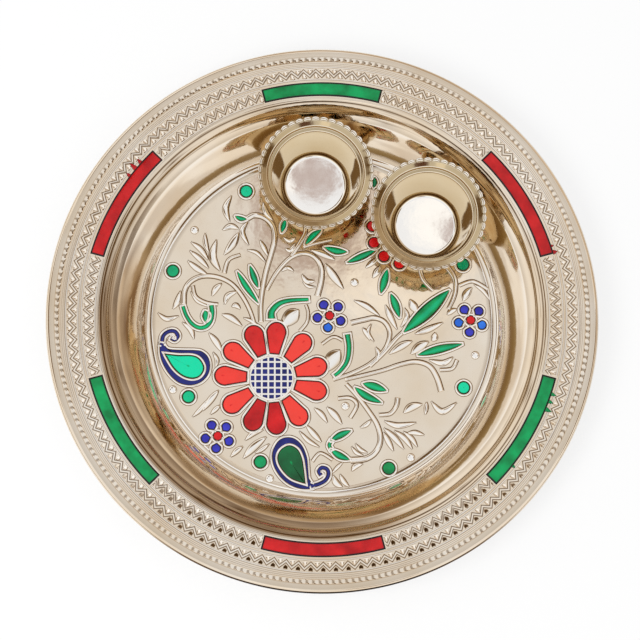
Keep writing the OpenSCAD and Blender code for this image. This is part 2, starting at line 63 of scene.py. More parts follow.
# Tray, in millimetres: the same values that its solid is made from
FLOOR_R = 88
SHEET = 0.8
FLOOR_Z = SHEET
FLOOR_EDGE_W = 1.2
COVE_R, COVE_SLOPE = 2.6, 52
BULGE_R, CREASE_R, CREASE_SLOPE = 72, 1.5, 37.5
LEDGE_W, LEDGE_SLOPE = 2.5, 24
STEP_R, STEP_SLOPE, SHELF_W = 7, 50, 0.4
UPPER_COVE_R, UPPER_SLOPE = 1.2, 40
RIM_EDGE_R = 2.7
ROLL_R, ROLL_TURN = 1.9, 290
RIM_MARGIN = 0.6
INNER_BAND_W = 7.4
OUTER_BAND_W = 6.8
LINE_W, LINE_GAP, FINE_LINES = 0.45, 0.4, 3
NOTCH_BAND_W = 2.5
BEAD_IN, BEAD_OUT, BEAD_H = 86.9, 87.9, 0.16
TEETH = 128
BAR_TURN = 29.6
BARS = {"red_bar_right": 30, "green_bar_back": 90, "red_bar_left": 150,
        "green_bar_left": 210, "red_bar_front": 270, "green_bar_right": 330}

# Bowls, in millimetres
BOWLS = ["left_bowl", "right_bowl"]
FOOT_R = 14.5
BOWL_SHEET = 0.6
FOOT_CURVE_R, FOOT_SLOPE = 3.2, 74
BOWL_WALL_R, BOWL_WALL_SLOPE = 211, 80
BOWL_BEND_R = 0.8
BOWL_STEP_W, BOWL_STEP_SLOPE = 0.9, 10
BOWL_STEP_RISE, BOWL_RISE_SLOPE = 0.6, 65
FLANGE_W, FLANGE_SLOPE = 4.4, 20
SCALLOP_DEPTH, SCALLOPS = 0.7, 42

# Heights of the floor's pattern and widths of its edges, in millimetres
RELIEF = 0.4
CELL_WALL = 1.1
SKIRT = 0.25
# A ridge is lower where it is narrower than this to each side, down to a least share of its height
FULL_HALF_W, LEAST_SHARE = 0.6, 0.15
# Where a pad's crown has rings, as shares of its outline
CROWN_RINGS = (0.7, 0.4, 0.15)
# Steps from point to point, and the longest step along a sheet's curve in millimetres
LEAF_STEPS, STROKE_STEPS, OUTLINE_STEPS = 8, 10, 5
LONGEST_STEP = 2.5

# The floor's pattern, in pixels of the photograph. Its centre, its radius, and how the camera's slant
# shortens and tapers it turn them into places on the floor.
CENTRE_PX = (321.9, 322.5)
FLOOR_PX = 171.1
UPRIGHT_SHARE = 0.983
TAPER_SHARE = 0.0128
PIXEL = FLOOR_R / FLOOR_PX

MAIN_FLOWER = (271.4, 378)
PETAL_ANGLES = [84, 112, 145, 177, 214, 247, 276, 305, 344, 14, 49]
PETAL_IN, PETAL_OUT, PETAL_BASE, PETAL_W, PETAL_END = 24.2, 57, 10.5, 20, 11
CHECKS_R, CHECK, CHECK_PITCH, CHECK_REACH = 20.5, 4.5, 6.45, 3
SMALL_FLOWERS = [((329.6, 315.6), 118), ((470.7, 320.2), 120), ((217.5, 435.8), 119)]
LIGHT_PETALS = [(0, 3), (1, 2), (1, 4)]
SMALL_IN, SMALL_MID, SMALL_R, HEART_R = 6.8, 12.2, 4.9, 4.9
HIDDEN_FLOWER, HIDDEN_COUNT, HIDDEN_TURN, HIDDEN_MID, HIDDEN_R = (405, 232), 12, 20, 33, 6
DOTS = [
    (246.8, 191.8), (173.2, 271.2), (188.5, 396.6), (260, 461.7), (388.4, 468.1), (463.5, 387.7), (463.1, 264.7)]
DOT_R = 6.6
BARE_DOTS = [
    (195, 230.5), (354.5, 282.6), (172.8, 389.5), (269.3, 478.3), (475.2, 355.3), (345, 406), (410.4, 457.4),
    (300, 172), (330, 190)]
BARE_DOT_R = 3.8
DROPS = [
    [164.5, 353.5, 178, 355, 192, 355.3, 199.5, 358.5, 204, 366, 203, 372.5, 198, 377.5, 190, 378.5, 181, 375,
     172.5, 367, 164.5, 353.5],
    [305, 483.5, 303.5, 470, 301.5, 458, 297, 449, 289, 445.2, 281, 449, 277.3, 456, 278.5, 464, 284, 472.5, 292,
     479, 305, 483.5]]
BANDS = [
    [160.3, 343, 160, 352, 162, 361, 166.5, 370, 172.5, 377.5, 180, 383, 190, 385, 200, 382.5, 207.5, 375.5, 210,
     366, 208, 357, 202, 351.5, 195, 350.2, 184, 350, 172, 349.5, 167, 348, 163.6, 343],
    [308.3, 478, 307.5, 468, 306.4, 457, 302, 446, 295, 439, 287, 437.2, 279, 440, 273.5, 448, 271.8, 456.5,
     273.6, 466, 279, 475.5, 287, 483, 297, 487.6, 306, 488.8, 313, 487.2, 308.3, 478]]
TAILS = [
    [161.8, 345, 163.5, 336, 169, 331.5, 175, 331.5, 178, 336, 175, 339.7, 171.3, 338],
    [311, 485.5, 318, 484, 325, 480, 328, 474, 326.5, 469, 321.5, 467.5, 318.5, 471, 320.5, 475]]
TAIL_W = 3.6
# Leaves: base x and y, middle x and y, tip x and y, width
GREEN_LEAVES = [
    (237.7, 272, 246, 286, 258.4, 303, 5.2), (250.3, 266, 254, 277, 258.2, 287.5, 5.6),
    (306, 244.5, 313, 236, 321.5, 230, 6), (282, 232.5, 284, 226, 285.8, 219.5, 5),
    (325, 247.5, 336, 251, 347, 252, 6.5), (347.5, 262.5, 362, 256.5, 376, 250, 6.2),
    (387.5, 269.5, 384.5, 281, 381, 293, 7.4), (391, 294, 395.5, 305, 399.5, 317, 7.4),
    (404, 332, 427, 311.5, 449, 290.5, 13.5), (418, 355, 438, 349.5, 462, 344, 8),
    (363, 383.5, 374, 386.5, 386, 390.5, 8), (355, 387.5, 366, 396, 381, 402.5, 7),
    (350.5, 430.5, 340, 435, 330.5, 440.5, 6.5), (330.5, 449.5, 339, 455.3, 349, 459.5, 6.5),
    (236, 216.5, 241, 219, 247, 219.5, 4.5), (374.5, 178, 375.2, 183, 374, 188, 4.5),
    (205, 310.8, 206.3, 316, 205.4, 321.5, 7.5)]
# Strokes: x and y of each point of the middle line, width at the start and at the end
GREEN_STROKES = [
    (183.3, 306.5, 186.5, 315.5, 192, 323.5, 199, 327.6, 206, 326.6, 210.8, 321, 212.3, 313, 211.5, 305.5, 3.2,
     4.4),
    (271.5, 318.5, 272, 311.5, 279, 304, 290, 300.6, 308.5, 299.5, 7, 3),
    (347.3, 334.5, 349, 347.5, 347, 361, 340.5, 370.5, 334.5, 375.5, 5, 3),
    (331.2, 440.5, 329, 445, 331, 449.5, 3.2, 3.2)]
STEMS = [
    (261, 322, 261, 302, 265.5, 275, 271.5, 254, 275, 239, 273, 226, 265, 218, 255, 215.5, 247.5, 219, 4, 5),
    (256.5, 332, 251, 313, 243, 297, 232, 284, 218, 277.3, 203, 276.3, 191, 281.5, 185, 291, 184, 304, 3, 4.5),
    (267, 290, 277, 272.5, 290, 258.5, 303, 253.5, 314, 256.5, 321, 266.5, 321.5, 280, 317.5, 296, 3, 5),
    (333, 379.5, 352, 373, 371, 363, 385, 349, 389.8, 334, 385, 322.5, 375, 318, 363, 320, 351, 322.8, 3, 4.5),
    (370, 366, 384, 352.5, 396, 338.5, 405, 330.5, 3, 3.5),
    (345, 379.5, 380, 371, 400, 364.5, 416, 361.8, 429, 366, 436.5, 377, 441, 391, 3, 5),
    (346, 384, 357, 396, 368, 410.5, 377, 425, 380, 440, 375, 452, 365, 458.5, 350.5, 460, 3, 5.5),
    (448, 268, 455, 279.5, 455, 294, 448.5, 309, 4.5, 3),
    (292, 256, 300, 243.5, 306, 231, 303, 214, 309, 197, 322, 186, 3.5, 3),
    (338, 398.5, 350, 398, 356.5, 405, 350, 417.5, 3, 3), (379, 415, 390, 413.5, 396, 406, 397.5, 398, 3, 4),
    (420, 268, 423.5, 280, 433, 290.5, 3.5, 2.5), (459.5, 285.5, 473, 281.5, 487.5, 289, 3, 3),
    (440, 370, 452, 368.5, 457, 360, 3, 3), (240.5, 255, 229, 260, 224.5, 273, 2.5, 3.5),
    (193, 286, 196, 296.5, 206, 302.5, 218, 304.5, 3, 2.5), (312, 461, 320, 453, 332, 459.5, 2.5, 2.5),
    (306, 305, 308, 312, 307, 322, 300, 331, 2.2, 2.6), (322, 344, 333, 337, 342, 340, 2.2, 2.6),
    (304, 247, 318, 243, 332, 240, 2.6, 2)]
BARE_LEAVES = [
    (248, 222, 242.5, 232, 249, 245.5, 5), (247.5, 250.5, 257, 253, 266, 262.5, 3.5),
    (260, 240.5, 264, 247.5, 268, 256, 4.5), (232, 196, 226, 209, 230, 222, 6),
    (223, 230.5, 231, 226.5, 239, 229, 5.5), (239, 233, 233, 244, 224.5, 255, 7.5),
    (220.5, 271, 213, 257, 217, 240, 7.5), (191.5, 242.5, 201, 249.5, 208.5, 260, 5),
    (190, 251, 200, 259, 209, 268.5, 5), (188, 261, 197, 268.5, 208, 275, 5.5),
    (205.5, 233.5, 206, 243.5, 209, 252.5, 4.5), (191, 291.5, 198, 301.5, 212, 307.5, 3),
    (212.5, 296, 216, 289, 222, 283.5, 5.5), (225, 304.5, 228, 296, 237.5, 291.5, 5.5),
    (232, 307, 236, 305.5, 240.5, 309, 5), (173.5, 309, 178, 301, 181, 291, 5.5),
    (158, 313, 167, 319, 179, 316, 4.5), (222, 314.5, 231.5, 318, 242, 326, 6),
    (243.5, 318, 252.5, 321.5, 260, 329, 3.5), (182.5, 322.5, 190.5, 329, 194, 339, 5),
    (209, 333, 216, 341.5, 222, 352, 6), (213, 352, 217, 360, 215.5, 367, 4),
    (302, 274.5, 307, 281.5, 315, 281, 5), (303, 282, 308.5, 286.5, 315.5, 287, 3),
    (281.5, 271.5, 288, 268, 294, 271.5, 3.5), (312, 250.5, 323, 254, 335, 260, 6.5),
    (325.5, 264, 333, 275.5, 343.5, 289, 7.5), (263.5, 203, 266.5, 213, 273, 220.5, 5),
    (284, 238, 290, 241, 296, 237.5, 4), (285.5, 249, 291, 250.5, 296, 243, 4.5),
    (362.5, 328, 366, 332.5, 370, 340, 4.5), (371, 324, 368, 333, 374, 341.5, 3.5),
    (375.5, 347, 378.5, 354.5, 375.5, 363, 5), (354, 300.5, 367, 306.5, 379.5, 316, 5.5),
    (385.5, 305, 390, 316, 397, 329.5, 5.5), (404.5, 308, 407, 317, 401, 327, 4.5),
    (389, 354, 401, 346, 412, 341, 7), (411, 354, 419, 347, 428.5, 341.5, 8.5),
    (432, 341, 434.5, 337.5, 435, 332.5, 6.5), (415, 334, 428, 329.5, 443, 322.5, 6),
    (410, 299.5, 413.5, 306.5, 418, 312.5, 8), (429, 360, 443, 363, 453, 357, 5.5),
    (463.5, 301, 466.5, 294, 472, 287.5, 7), (474, 284.5, 483, 290.5, 490, 300, 3.5),
    (447.5, 315, 451, 311.5, 457, 309, 5), (431, 401.5, 442, 411.5, 456.5, 402.5, 6),
    (360, 427.5, 366, 424.5, 371, 419.5, 4), (351, 446.5, 356, 452.5, 363, 455.5, 3.5),
    (355, 443.5, 360, 449.5, 367, 452.5, 3.5), (403.5, 413, 411, 407, 422, 404, 7.5),
    (426.5, 402, 426, 408, 425, 414.5, 4), (384, 421, 398, 425.5, 416, 422.5, 5.5),
    (383.5, 428, 394, 437.5, 403.5, 449, 5.5), (394, 430.5, 404.5, 438.5, 412, 449, 5),
    (403, 431.5, 411, 438, 417, 447, 4.5), (407, 433, 415, 432.5, 424, 435, 4.5),
    (383, 432, 388, 441.5, 393, 451, 5), (331.5, 473, 337, 467, 343, 461.5, 3),
    (332.5, 475, 335.5, 482.5, 342, 487, 6), (339.5, 474, 343, 481, 348.5, 486.5, 4.5),
    (351.5, 471, 355, 466, 362.5, 463.5, 5), (305.5, 424.5, 313.5, 434, 321, 442, 5.5),
    (299, 431, 308, 440.5, 319, 447, 4), (314, 408, 321, 414, 327, 422.5, 5),
    (326.5, 407, 334, 414.5, 341.5, 424, 6.5), (266, 436.5, 253.5, 446.5, 243, 458, 7.5),
    (263, 429.5, 253, 433, 245, 440, 5), (242.5, 446, 236.5, 450.5, 230.5, 456.5, 5),
    (269, 443.5, 262, 449, 255, 453, 3.5), (218.5, 390, 211, 399, 202.5, 410.5, 6),
    (208, 399, 200.5, 409, 192.5, 416.5, 4), (220, 405, 215.5, 409, 210.5, 414, 4),
    (281, 327, 291.5, 316.5, 299, 310, 15), (324, 372, 333, 359, 340, 350, 15),
    (366, 268, 372, 263, 378.5, 258, 5), (373, 278, 377, 272, 380.5, 266, 6)]


# Points and lines

def on_floor(place):
    """A pixel of the photograph as a place on the floor."""
    v = (CENTRE_PX[1] - place[1]) / FLOOR_PX
    y = v / (UPRIGHT_SHARE - v * TAPER_SHARE)
    x = (place[0] - CENTRE_PX[0]) / FLOOR_PX * (1 + y * TAPER_SHARE)
    return np.array([x, y]) * FLOOR_R


def floor_line(numbers):
    """The places on the floor of pixels, given as x and y in turn."""
    return np.array([on_floor(place) for place in np.reshape(numbers, (-1, 2))])


def spline(points, steps):
    """A smooth curve through given points."""
    last = len(points) - 1
    curve = []
    for i in range(last):
        a, b = points[max(i - 1, 0)], points[i]
        c, d = points[i + 1], points[min(i + 2, last)]
        for t in np.arange(steps) / steps:
            curve.append(0.5 * (2 * b + (c - a) * t + (2 * a - 5 * b + 4 * c - d) * t ** 2
                                + (3 * b - a - 3 * c + d) * t ** 3))
    return np.array(curve + [points[last]])


def left_of(line):
    """Unit vectors to the left of an open line at each of its points."""
    ahead = np.gradient(line, axis=0)
    ahead /= np.linalg.norm(ahead, axis=1)[:, None]
    return np.stack([-ahead[:, 1], ahead[:, 0]], axis=1)


def counterclockwise(outline):
    x, y = outline[:, 0], outline[:, 1]
    return outline if np.sum(x * np.roll(y, -1) - y * np.roll(x, -1)) > 0 else outline[::-1]


def grown(outline, distance):
    """A closed counterclockwise outline moved outwards, with its corners kept."""
    sides = np.roll(outline, -1, axis=0) - outline
    sides /= np.maximum(np.linalg.norm(sides, axis=1), 1e-9)[:, None]
    outward = np.stack([sides[:, 1], -sides[:, 0]], axis=1)
    corner = outward + np.roll(outward, 1, axis=0)
    corner /= np.maximum(np.sum(corner * outward, axis=1), 0.5)[:, None]
    return outline + distance * corner


def inside(outline, flat):
    """Which points lie inside a closed outline."""
    within = np.zeros(len(flat), dtype=bool)
    x, y = flat[:, 0], flat[:, 1]
    for (x0, y0), (x1, y1) in zip(outline, np.roll(outline, -1, axis=0)):
        if y0 != y1:
            within ^= ((y0 > y) != (y1 > y)) & (x < (x1 - x0) * (y - y0) / (y1 - y0) + x0)
    return within


def polar(radius, degrees):
    turn = np.radians(degrees)
    return np.stack([radius * np.cos(turn), radius * np.sin(turn)], axis=-1)


def around(count):
    """Evenly spread turns in degrees."""
    return np.arange(count) * 360 / count


def at_height(flat, z):
    """Flat places with a height, which is one for all or one for each."""
    return np.column_stack([flat, np.full(len(flat), z)])


def leg_end(start, length, turn):
    """Radius, height and slope at the end of one leg of a sheet's middle line."""
    r, z, slope = start
    before, after = math.radians(slope), math.radians(slope + turn)
    if turn == 0:
        return r + length * math.cos(before), z + length * math.sin(before), slope
    side = math.copysign(1, turn)
    return (r + side * length * (math.sin(after) - math.sin(before)),
            z + side * length * (math.cos(before) - math.cos(after)), slope + turn)


def walk(start, legs, turn_step):
    """The middle line of a sheet. A leg is a length with no turn, or a radius and a turn in degrees."""
    path = [start]
    for length, turn in legs:
        begin = path[-1]
        curve = length * math.radians(abs(turn))
        steps = max(1, math.ceil(abs(turn) / turn_step), math.ceil(curve / LONGEST_STEP))
        for i in range(1, steps + 1):
            path.append(leg_end(begin, length if turn else length * i / steps, turn * i / steps))
    return path


def faces_of_sheet(path, thick):
    """The upper and lower face of a sheet along its middle line, as radius and height."""
    return [[(max(r - d * math.sin(math.radians(a)), 0), z + d * math.cos(math.radians(a))) for r, z, a in path]
            for d in (thick / 2, -thick / 2)]


# Meshes

def placed(name, data):
    """A new object in the scene."""
    made = bpy.data.objects.new(name, data)
    bpy.context.collection.objects.link(made)
    return made


# Each point's mark: painted highlights and shade on the metal, and on enamel a painted dark line of shade at the
# edge and how thin the enamel lies
MARK = "painted_light_and_enamel_depth"


class Shell:
    """Collects grids of points in millimetres. Each point has a mark, whose meaning is the material's."""

    def __init__(self):
        self.points, self.faces, self.marks = [], [], []

    def grid(self, rows, marks, closed):
        """Rows of points, in the order that puts the left side of a row's direction up."""
        start, count = len(self.points), len(rows[0])
        for row, mark in zip(rows, marks):
            self.points.extend(map(tuple, row))
            self.marks.extend(np.broadcast_to(mark, count))
        for i in range(len(rows) - 1):
            low, high = start + i * count, start + (i + 1) * count
            for j in range(count if closed else count - 1):
                k = (j + 1) % count
                self.faces.append((low + j, low + k, high + k, high + j))
        return start + (len(rows) - 1) * count

    def fan(self, first, count, tip):
        self.points.append(tuple(tip))
        self.marks.append(0)
        last = len(self.points) - 1
        self.faces.extend((first + j, first + (j + 1) % count, last) for j in range(count))

    def band(self, line, halves, rows):
        """A ridge along a line. A row is (share of the half width, skirt, height, mark)."""
        left = left_of(line)
        low = np.clip(halves / FULL_HALF_W, LEAST_SHARE, 1)
        strips = np.array([at_height(line + left * (share * halves + skirt)[:, None], FLOOR_Z + height * low)
                           for share, skirt, height, _ in rows])
        tips = []
        for end, beside in ((0, 1), (-1, -2)):
            away = line[end] - line[beside]
            tip = strips[:, end].copy()
            tip[:, :2] += away / np.linalg.norm(away) * SKIRT
            tip[:, 2] = FLOOR_Z
            tips.append(tip[:, None])
        strips = np.concatenate([tips[0], strips, tips[1]], axis=1)
        marks = [np.concatenate([[rows[0][3]], np.full(len(line), row[3]), [rows[0][3]]]) for row in rows]
        self.grid(strips, marks, False)

    def pad(self, outline, rows, crown=0.0, base=FLOOR_Z):
        """A pad on an outline. A row is (growth of the outline, height, mark)."""
        outline = counterclockwise(outline)
        rings = [at_height(grown(outline, growth), base + height) for growth, height, _ in rows]
        marks = [row[2] for row in rows]
        inner, middle = rings[-1], outline.mean(axis=0)
        for share in CROWN_RINGS:
            ring = inner.copy()
            ring[:, :2] = middle + (inner[:, :2] - middle) * share
            ring[:, 2] += crown * (1 - share ** 2)
            rings.append(ring)
            marks.append(rows[-1][2])
        first = self.grid(rings, marks, True)
        self.fan(first, len(outline), (*middle, inner[0, 2] + crown))

    def wall(self, outline, rows, base=FLOOR_Z):
        """A raised ridge round an outline, from its outside to its inside."""
        outline = counterclockwise(outline)
        rings = [at_height(grown(outline, growth), base + height) for growth, height, _ in rows]
        self.grid(rings, [row[2] for row in rows], True)

    def sink(self, outlines, height):
        """Puts the points inside some outlines down to a height, so that what fills the outlines hides them."""
        points = np.array(self.points)
        for outline in outlines:
            under = inside(outline, points[:, :2])
            points[under, 2] = np.minimum(points[under, 2], height)
        self.points = list(map(tuple, points))

    def join(self, other):
        start = len(self.points)
        self.points += other.points
        self.marks += other.marks
        self.faces += [tuple(start + i for i in face) for face in other.faces]

    def piece(self, name, body, slot, material, sharp=None):
        mesh = bpy.data.meshes.new(name)
        mesh.from_pydata((np.array(self.points) * MM).tolist(), [], self.faces)
        mark = mesh.attributes.new(MARK, "FLOAT", "POINT")
        mark.data.foreach_set("value", np.array(self.marks, dtype=np.float32))
        mesh.shade_smooth()
        if sharp:
            mesh.set_sharp_from_angle(angle=math.radians(sharp))
        mesh.materials.append(material)
        mesh.validate()
        made = placed(name, mesh)
        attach(made, body)
        return made


# Materials

class Nodes:
    """The nodes of a material or a world, with short calls for those used here."""

    def __init__(self, owner):
        owner.use_nodes = True
        self.owner, self.tree = owner, owner.node_tree

    def feed(self, socket, value):
        """Links an output to a socket, or gives the socket a value of its own."""
        if isinstance(value, bpy.types.NodeSocket):
            self.tree.links.new(value, socket)
        else:
            socket.default_value = value

    def fill(self, node, **inputs):
        """Feeds a node's inputs by name, with _ for a space."""
        for key, value in inputs.items():
            self.feed(node.inputs[key.replace("_", " ")], value)
        return node

    def add(self, kind, **inputs):
        return self.fill(self.tree.nodes.new("ShaderNode" + kind), **inputs)

    def result(self, operation, *values, kind="Math"):
        node = self.add(kind)
        node.operation = operation
        for socket, value in zip(node.inputs, values):
            self.feed(socket, value)
        return node.outputs["Value"]

    def noise(self, scale, detail, place=None):
        """Clouds, over the object's own coordinates where no place is given."""
        place = place or self.add("TexCoord").outputs["Object"]
        return self.add("TexNoise", Vector=place, Scale=scale, Detail=detail).outputs["Fac"]

    def spread(self, value, low, high, start=0.3, end=0.7):
        """What runs from low to high while a value runs from start to end."""
        return self.add("MapRange", Value=value, From_Min=start, From_Max=end, To_Min=low,
                        To_Max=high).outputs["Result"]

    def mix(self, share, a, b):
        """A colour between two, each a tuple or an output."""
        node = self.add("Mix")
        node.data_type = "RGBA"
        for i, value in ((0, share), (6, a), (7, b)):
            self.feed(node.inputs[i], (*value, 1) if isinstance(value, tuple) else value)
        return node.outputs[2]

    def ramp(self, value, stops):
        """A colour by a value from 0 to 1. A stop's colour is a tuple, or a number for a grey."""
        node = self.add("ValToRGB", Fac=value)
        while len(node.color_ramp.elements) < len(stops):
            node.color_ramp.elements.new(0.5)
        for element, (position, colour) in zip(node.color_ramp.elements, stops):
            element.position = position
            element.color = (*colour, 1) if isinstance(colour, tuple) else (colour, colour, colour, 1)
        return node.outputs["Color"]

    def mark(self):
        node = self.add("Attribute")
        node.attribute_name = MARK
        return node.outputs["Fac"]

    def surface(self, bump, distance, strength, **inputs):
        """The finished material: the shader's inputs, and fine waves in the surface."""
        waves = self.add("Bump", Height=bump, Distance=distance, Strength=strength)
        self.fill(self.tree.nodes["Principled BSDF"], Normal=waves.outputs["Normal"], **inputs)
        return self.owner


def linear(*colour):
    """A colour of 0 to 255 as the linear values that a shader takes."""
    return tuple(c / 12.92 if c <= 0.04045 else ((c + 0.055) / 1.055) ** 2.4 for c in (v / 255 for v in colour))


# Painted light on the plated metal: a near-white highlight, and brown and nearly black shade
PAINTED_HIGHLIGHT, BROWN, NEARLY_BLACK = linear(252, 248, 242), linear(104, 74, 38), linear(34, 20, 12)
# The painted shade of the dark line where enamel meets the metal round its cell
ENAMEL_EDGE = linear(22, 14, 16)
SHINE = 0.03


def plated(name, pale, warm):
    """Bright plated sheet, cloudy in tone and with fine press ripples.

    Its mark paints light and shade: from -1, a painted highlight, to 1 for brown painted shade and 2 for nearly
    black painted shade.
    """
    n = Nodes(bpy.data.materials.new(name))
    tone = n.mix(n.spread(n.noise(28, 4), 0, 1), linear(*pale), linear(*warm))
    mark = n.mark()
    bright = n.mix(n.spread(mark, 1, 0, -1, 0), tone, PAINTED_HIGHLIGHT)
    dark = n.mix(n.spread(mark, 0, 1, 1, 2), BROWN, NEARLY_BLACK)
    rough = n.result("ADD", n.spread(n.noise(150, 5), SHINE, SHINE + 0.05), n.spread(mark, 0, 0.2, 0.1, 1))
    return n.surface(n.noise(90, 3), 0.0004, 0.1, Metallic=1, Roughness=rough,
                     Base_Color=n.mix(n.spread(mark, 0, 1, 0, 1), bright, dark))


def enamel(name, colour, deep, thin):
    """Glossy enamel poured into a cell: uneven in depth of colour, with a painted dark line of shade where it
    meets the metal.

    A mark below 0 is where it lies thin and shows its lighter colour, and above 0.1 the dark line begins.
    """
    n = Nodes(bpy.data.materials.new(name))
    tone = n.mix(n.spread(n.noise(130, 3), 0, 1), linear(*colour), linear(*deep))
    mark = n.mark()
    tone = n.mix(n.spread(mark, 1, 0, -1, 0), tone, linear(*thin))
    return n.surface(n.noise(260, 2), 0.0003, 0.2, Specular_IOR_Level=0.3,
                     Roughness=n.spread(n.noise(300, 3), 0.06, 0.2),
                     Base_Color=n.mix(n.spread(mark, 0, 1, 0.1, 0.8), tone, ENAMEL_EDGE))


SILVER = plated("silver_plate", (240, 228, 211), (230, 211, 185))
GOLD = plated("gold_plate", (222, 205, 172), (210, 187, 145))
ENAMELS = {name: enamel(name, *colours) for name, colours in {
    "red_enamel": ((214, 28, 30), (170, 8, 14), (242, 74, 60)),
    "green_enamel": ((4, 160, 88), (0, 112, 56), (8, 214, 164)),
    "blue_enamel": ((58, 58, 190), (36, 34, 140), (84, 92, 226)),
    "light_blue_enamel": ((46, 122, 230), (30, 88, 196), (96, 164, 246)),
    "navy_enamel": ((34, 40, 118), (18, 22, 84), (60, 66, 150))}.items()}
SLOTS = {s["node"]: s["material_slot"] for s in frame["record"]["subparts"]}


def tray_piece(name, shell, sharp=None):
    return shell.piece(name, "tray", SLOTS["tray"], SILVER, sharp)


def enamel_piece(node, shell, ending="_enamel"):
    return shell.piece(node + ending, "tray", SLOTS[node], ENAMELS[SLOTS[node]])


# Tray

# Degrees of turn from row to row: the tray's upper side, its underside and a bowl, and the rolled edge
FINE_TURN, TURN, ROLL_STEP = 1.5, 5, 12
TRAY_COLUMNS = 396
SHARP = 50
# The radius of the innermost ring, which closes the middle but for a pinhole
AXIS_R = 0.01
# How far the plain sheet lies below the rim's pattern
PATTERN_DEPTH = 0.55
WALL_LEGS = [
    (FLOOR_R + FLOOR_EDGE_W, 0), (COVE_R, COVE_SLOPE), (BULGE_R, CREASE_SLOPE - COVE_SLOPE),
    (CREASE_R, LEDGE_SLOPE - CREASE_SLOPE), (0.5, 0), (LEDGE_W - 0.5, 0), (STEP_R, STEP_SLOPE - LEDGE_SLOPE),
    (STEP_R, LEDGE_SLOPE - STEP_SLOPE), (SHELF_W, 0), (UPPER_COVE_R, UPPER_SLOPE - LEDGE_SLOPE),
    (RIM_EDGE_R, -UPPER_SLOPE)]
WALL = walk((0, SHEET / 2, 0), WALL_LEGS, FINE_TURN)
WELL_R = WALL[-1][0]
RIM_Z = WALL[-1][1] + SHEET / 2
BAR_IN = WELL_R + RIM_MARGIN
BAR_OUT = BAR_IN + INNER_BAND_W
OUTER_BAND = BAR_OUT + LINE_W + 2 * LINE_GAP
FINE_R = OUTER_BAND + OUTER_BAND_W
NOTCH_R = FINE_R + LINE_GAP + FINE_LINES * (LINE_W + LINE_GAP)
ROLL_START = TRAY_R - ROLL_R
# Marks up the wall by radius: painted highlights low on the wall and on its crease, a painted dark line above
# the crease, and a painted dark line below the rim's edge
WALL_MARKS = [
    (89, -0.4), (93.5, -0.5), (96, 0), (103.5, 0), (104, -0.5), (104.4, -0.4), (104.6, 0.6), (105, 0.2),
    (106.7, 0), (111.7, 0.1), (112.1, 0.85), (112.5, 0.85), (112.8, 0.1), (113.5, 0)]
# A painted highlight along the floor's bead, with painted shade at its edges
BEAD_MARKS = [0.4, -1, -1, -1, 0.6]
# Sides of the tray in degrees: where its wall has painted shade, its rolled edge painted nearly black shade and
# its outer pits painted brown shade
WALL_SHADE_SIDE, DARK_EDGE_SIDE, BROWN_SIDE = 215, 272, 275
DARK_EDGE_SLOPES = (-110, -35)
# The radii from which the wall has painted shade on one side and faint painted dark streaks, and the points that
# shape a streak
WALL_SHADE_FROM, STREAKS_FROM, STREAK_POINTS = 99, 105, 36


def facing(turns, side, contrast, less):
    """Up to 1 on one side of the tray, and 0 away from it."""
    return np.clip(contrast * np.cos(np.radians(turns - side)) - less, 0, 1)


def wall_marks(turns):
    """Marks over the wall: painted light and dark lines round it, painted shade on one side and faint painted
    dark streaks.
    """
    radii = np.array([r for r, _, _ in WALL[1:]])[:, None]
    side_shade = 0.4 * facing(turns, WALL_SHADE_SIDE, 1.3, 0) * np.clip((radii - WALL_SHADE_FROM) / 4, 0, 1)
    random = np.random.default_rng(4)
    places = np.linspace(0, 360, STREAK_POINTS)
    streaks = np.array([np.interp(turns, places, random.random(STREAK_POINTS)) for _ in radii])
    streaks = 0.5 * streaks + 0.25 * (np.roll(streaks, 1, axis=0) + np.roll(streaks, -1, axis=0))
    streaks = 2.5 * np.clip(streaks - 0.6, 0, 1) * np.clip(radii - STREAKS_FROM, 0, 1)
    return np.minimum(np.interp(radii, *zip(*WALL_MARKS)) + side_shade + streaks, 1)


def tray_body():
    """Floor, wall, underside and rolled edge, turned round the middle."""
    roll = walk((ROLL_START, RIM_Z - SHEET / 2, 0), [(ROLL_R - SHEET / 2, -ROLL_TURN)], ROLL_STEP)
    upper_wall = faces_of_sheet(WALL[1:], SHEET)[0]
    lower_wall = faces_of_sheet(walk(WALL[0], WALL_LEGS, TURN)[1:], SHEET)[1]
    upper_roll, lower_roll = faces_of_sheet(roll, SHEET)
    floor = [(r, FLOOR_Z) for r in (AXIS_R, 30, 60, BEAD_IN - 2)]
    bead = [(BEAD_IN, 0), (BEAD_IN + 0.3, 0.8), ((BEAD_IN + BEAD_OUT) / 2, 1), (BEAD_OUT - 0.3, 0.8),
            (BEAD_OUT, 0)]
    bead = [(r, FLOOR_Z + BEAD_H * share) for r, share in bead]
    below_pattern = [(r, RIM_Z - PATTERN_DEPTH) for r in (WELL_R + 0.02, ROLL_START - 0.02)]
    under = lower_roll[::-1] + lower_wall[::-1] + [(AXIS_R, 0)]
    profile = floor + bead + upper_wall + below_pattern + upper_roll + under

    turns = around(TRAY_COLUMNS)
    # Painted nearly black shade on the rolled edge's underside, on one side of the tray
    dark_edge = 2 * facing(turns, DARK_EDGE_SIDE, 4, 2.9)
    steep, flat = DARK_EDGE_SLOPES
    marks = np.concatenate([
        np.zeros((len(floor), TRAY_COLUMNS)), np.tile(np.array(BEAD_MARKS)[:, None], TRAY_COLUMNS),
        wall_marks(turns), np.zeros((len(below_pattern), TRAY_COLUMNS)),
        [dark_edge * (steep < slope < flat) for _, _, slope in roll], np.zeros((len(under), TRAY_COLUMNS))])
    # A row's left is inwards, so the profile goes from the outside in
    rows = [at_height(polar(r, turns), z) for r, z in profile[::-1]]
    shell = Shell()
    shell.grid(rows, marks[::-1], True)
    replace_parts(tray_piece("tray_body", shell, SHARP), "tray")


STEPS_PER_TOOTH = 10
RIDGE_H, PIT_DEPTH = 0.3, 0.5


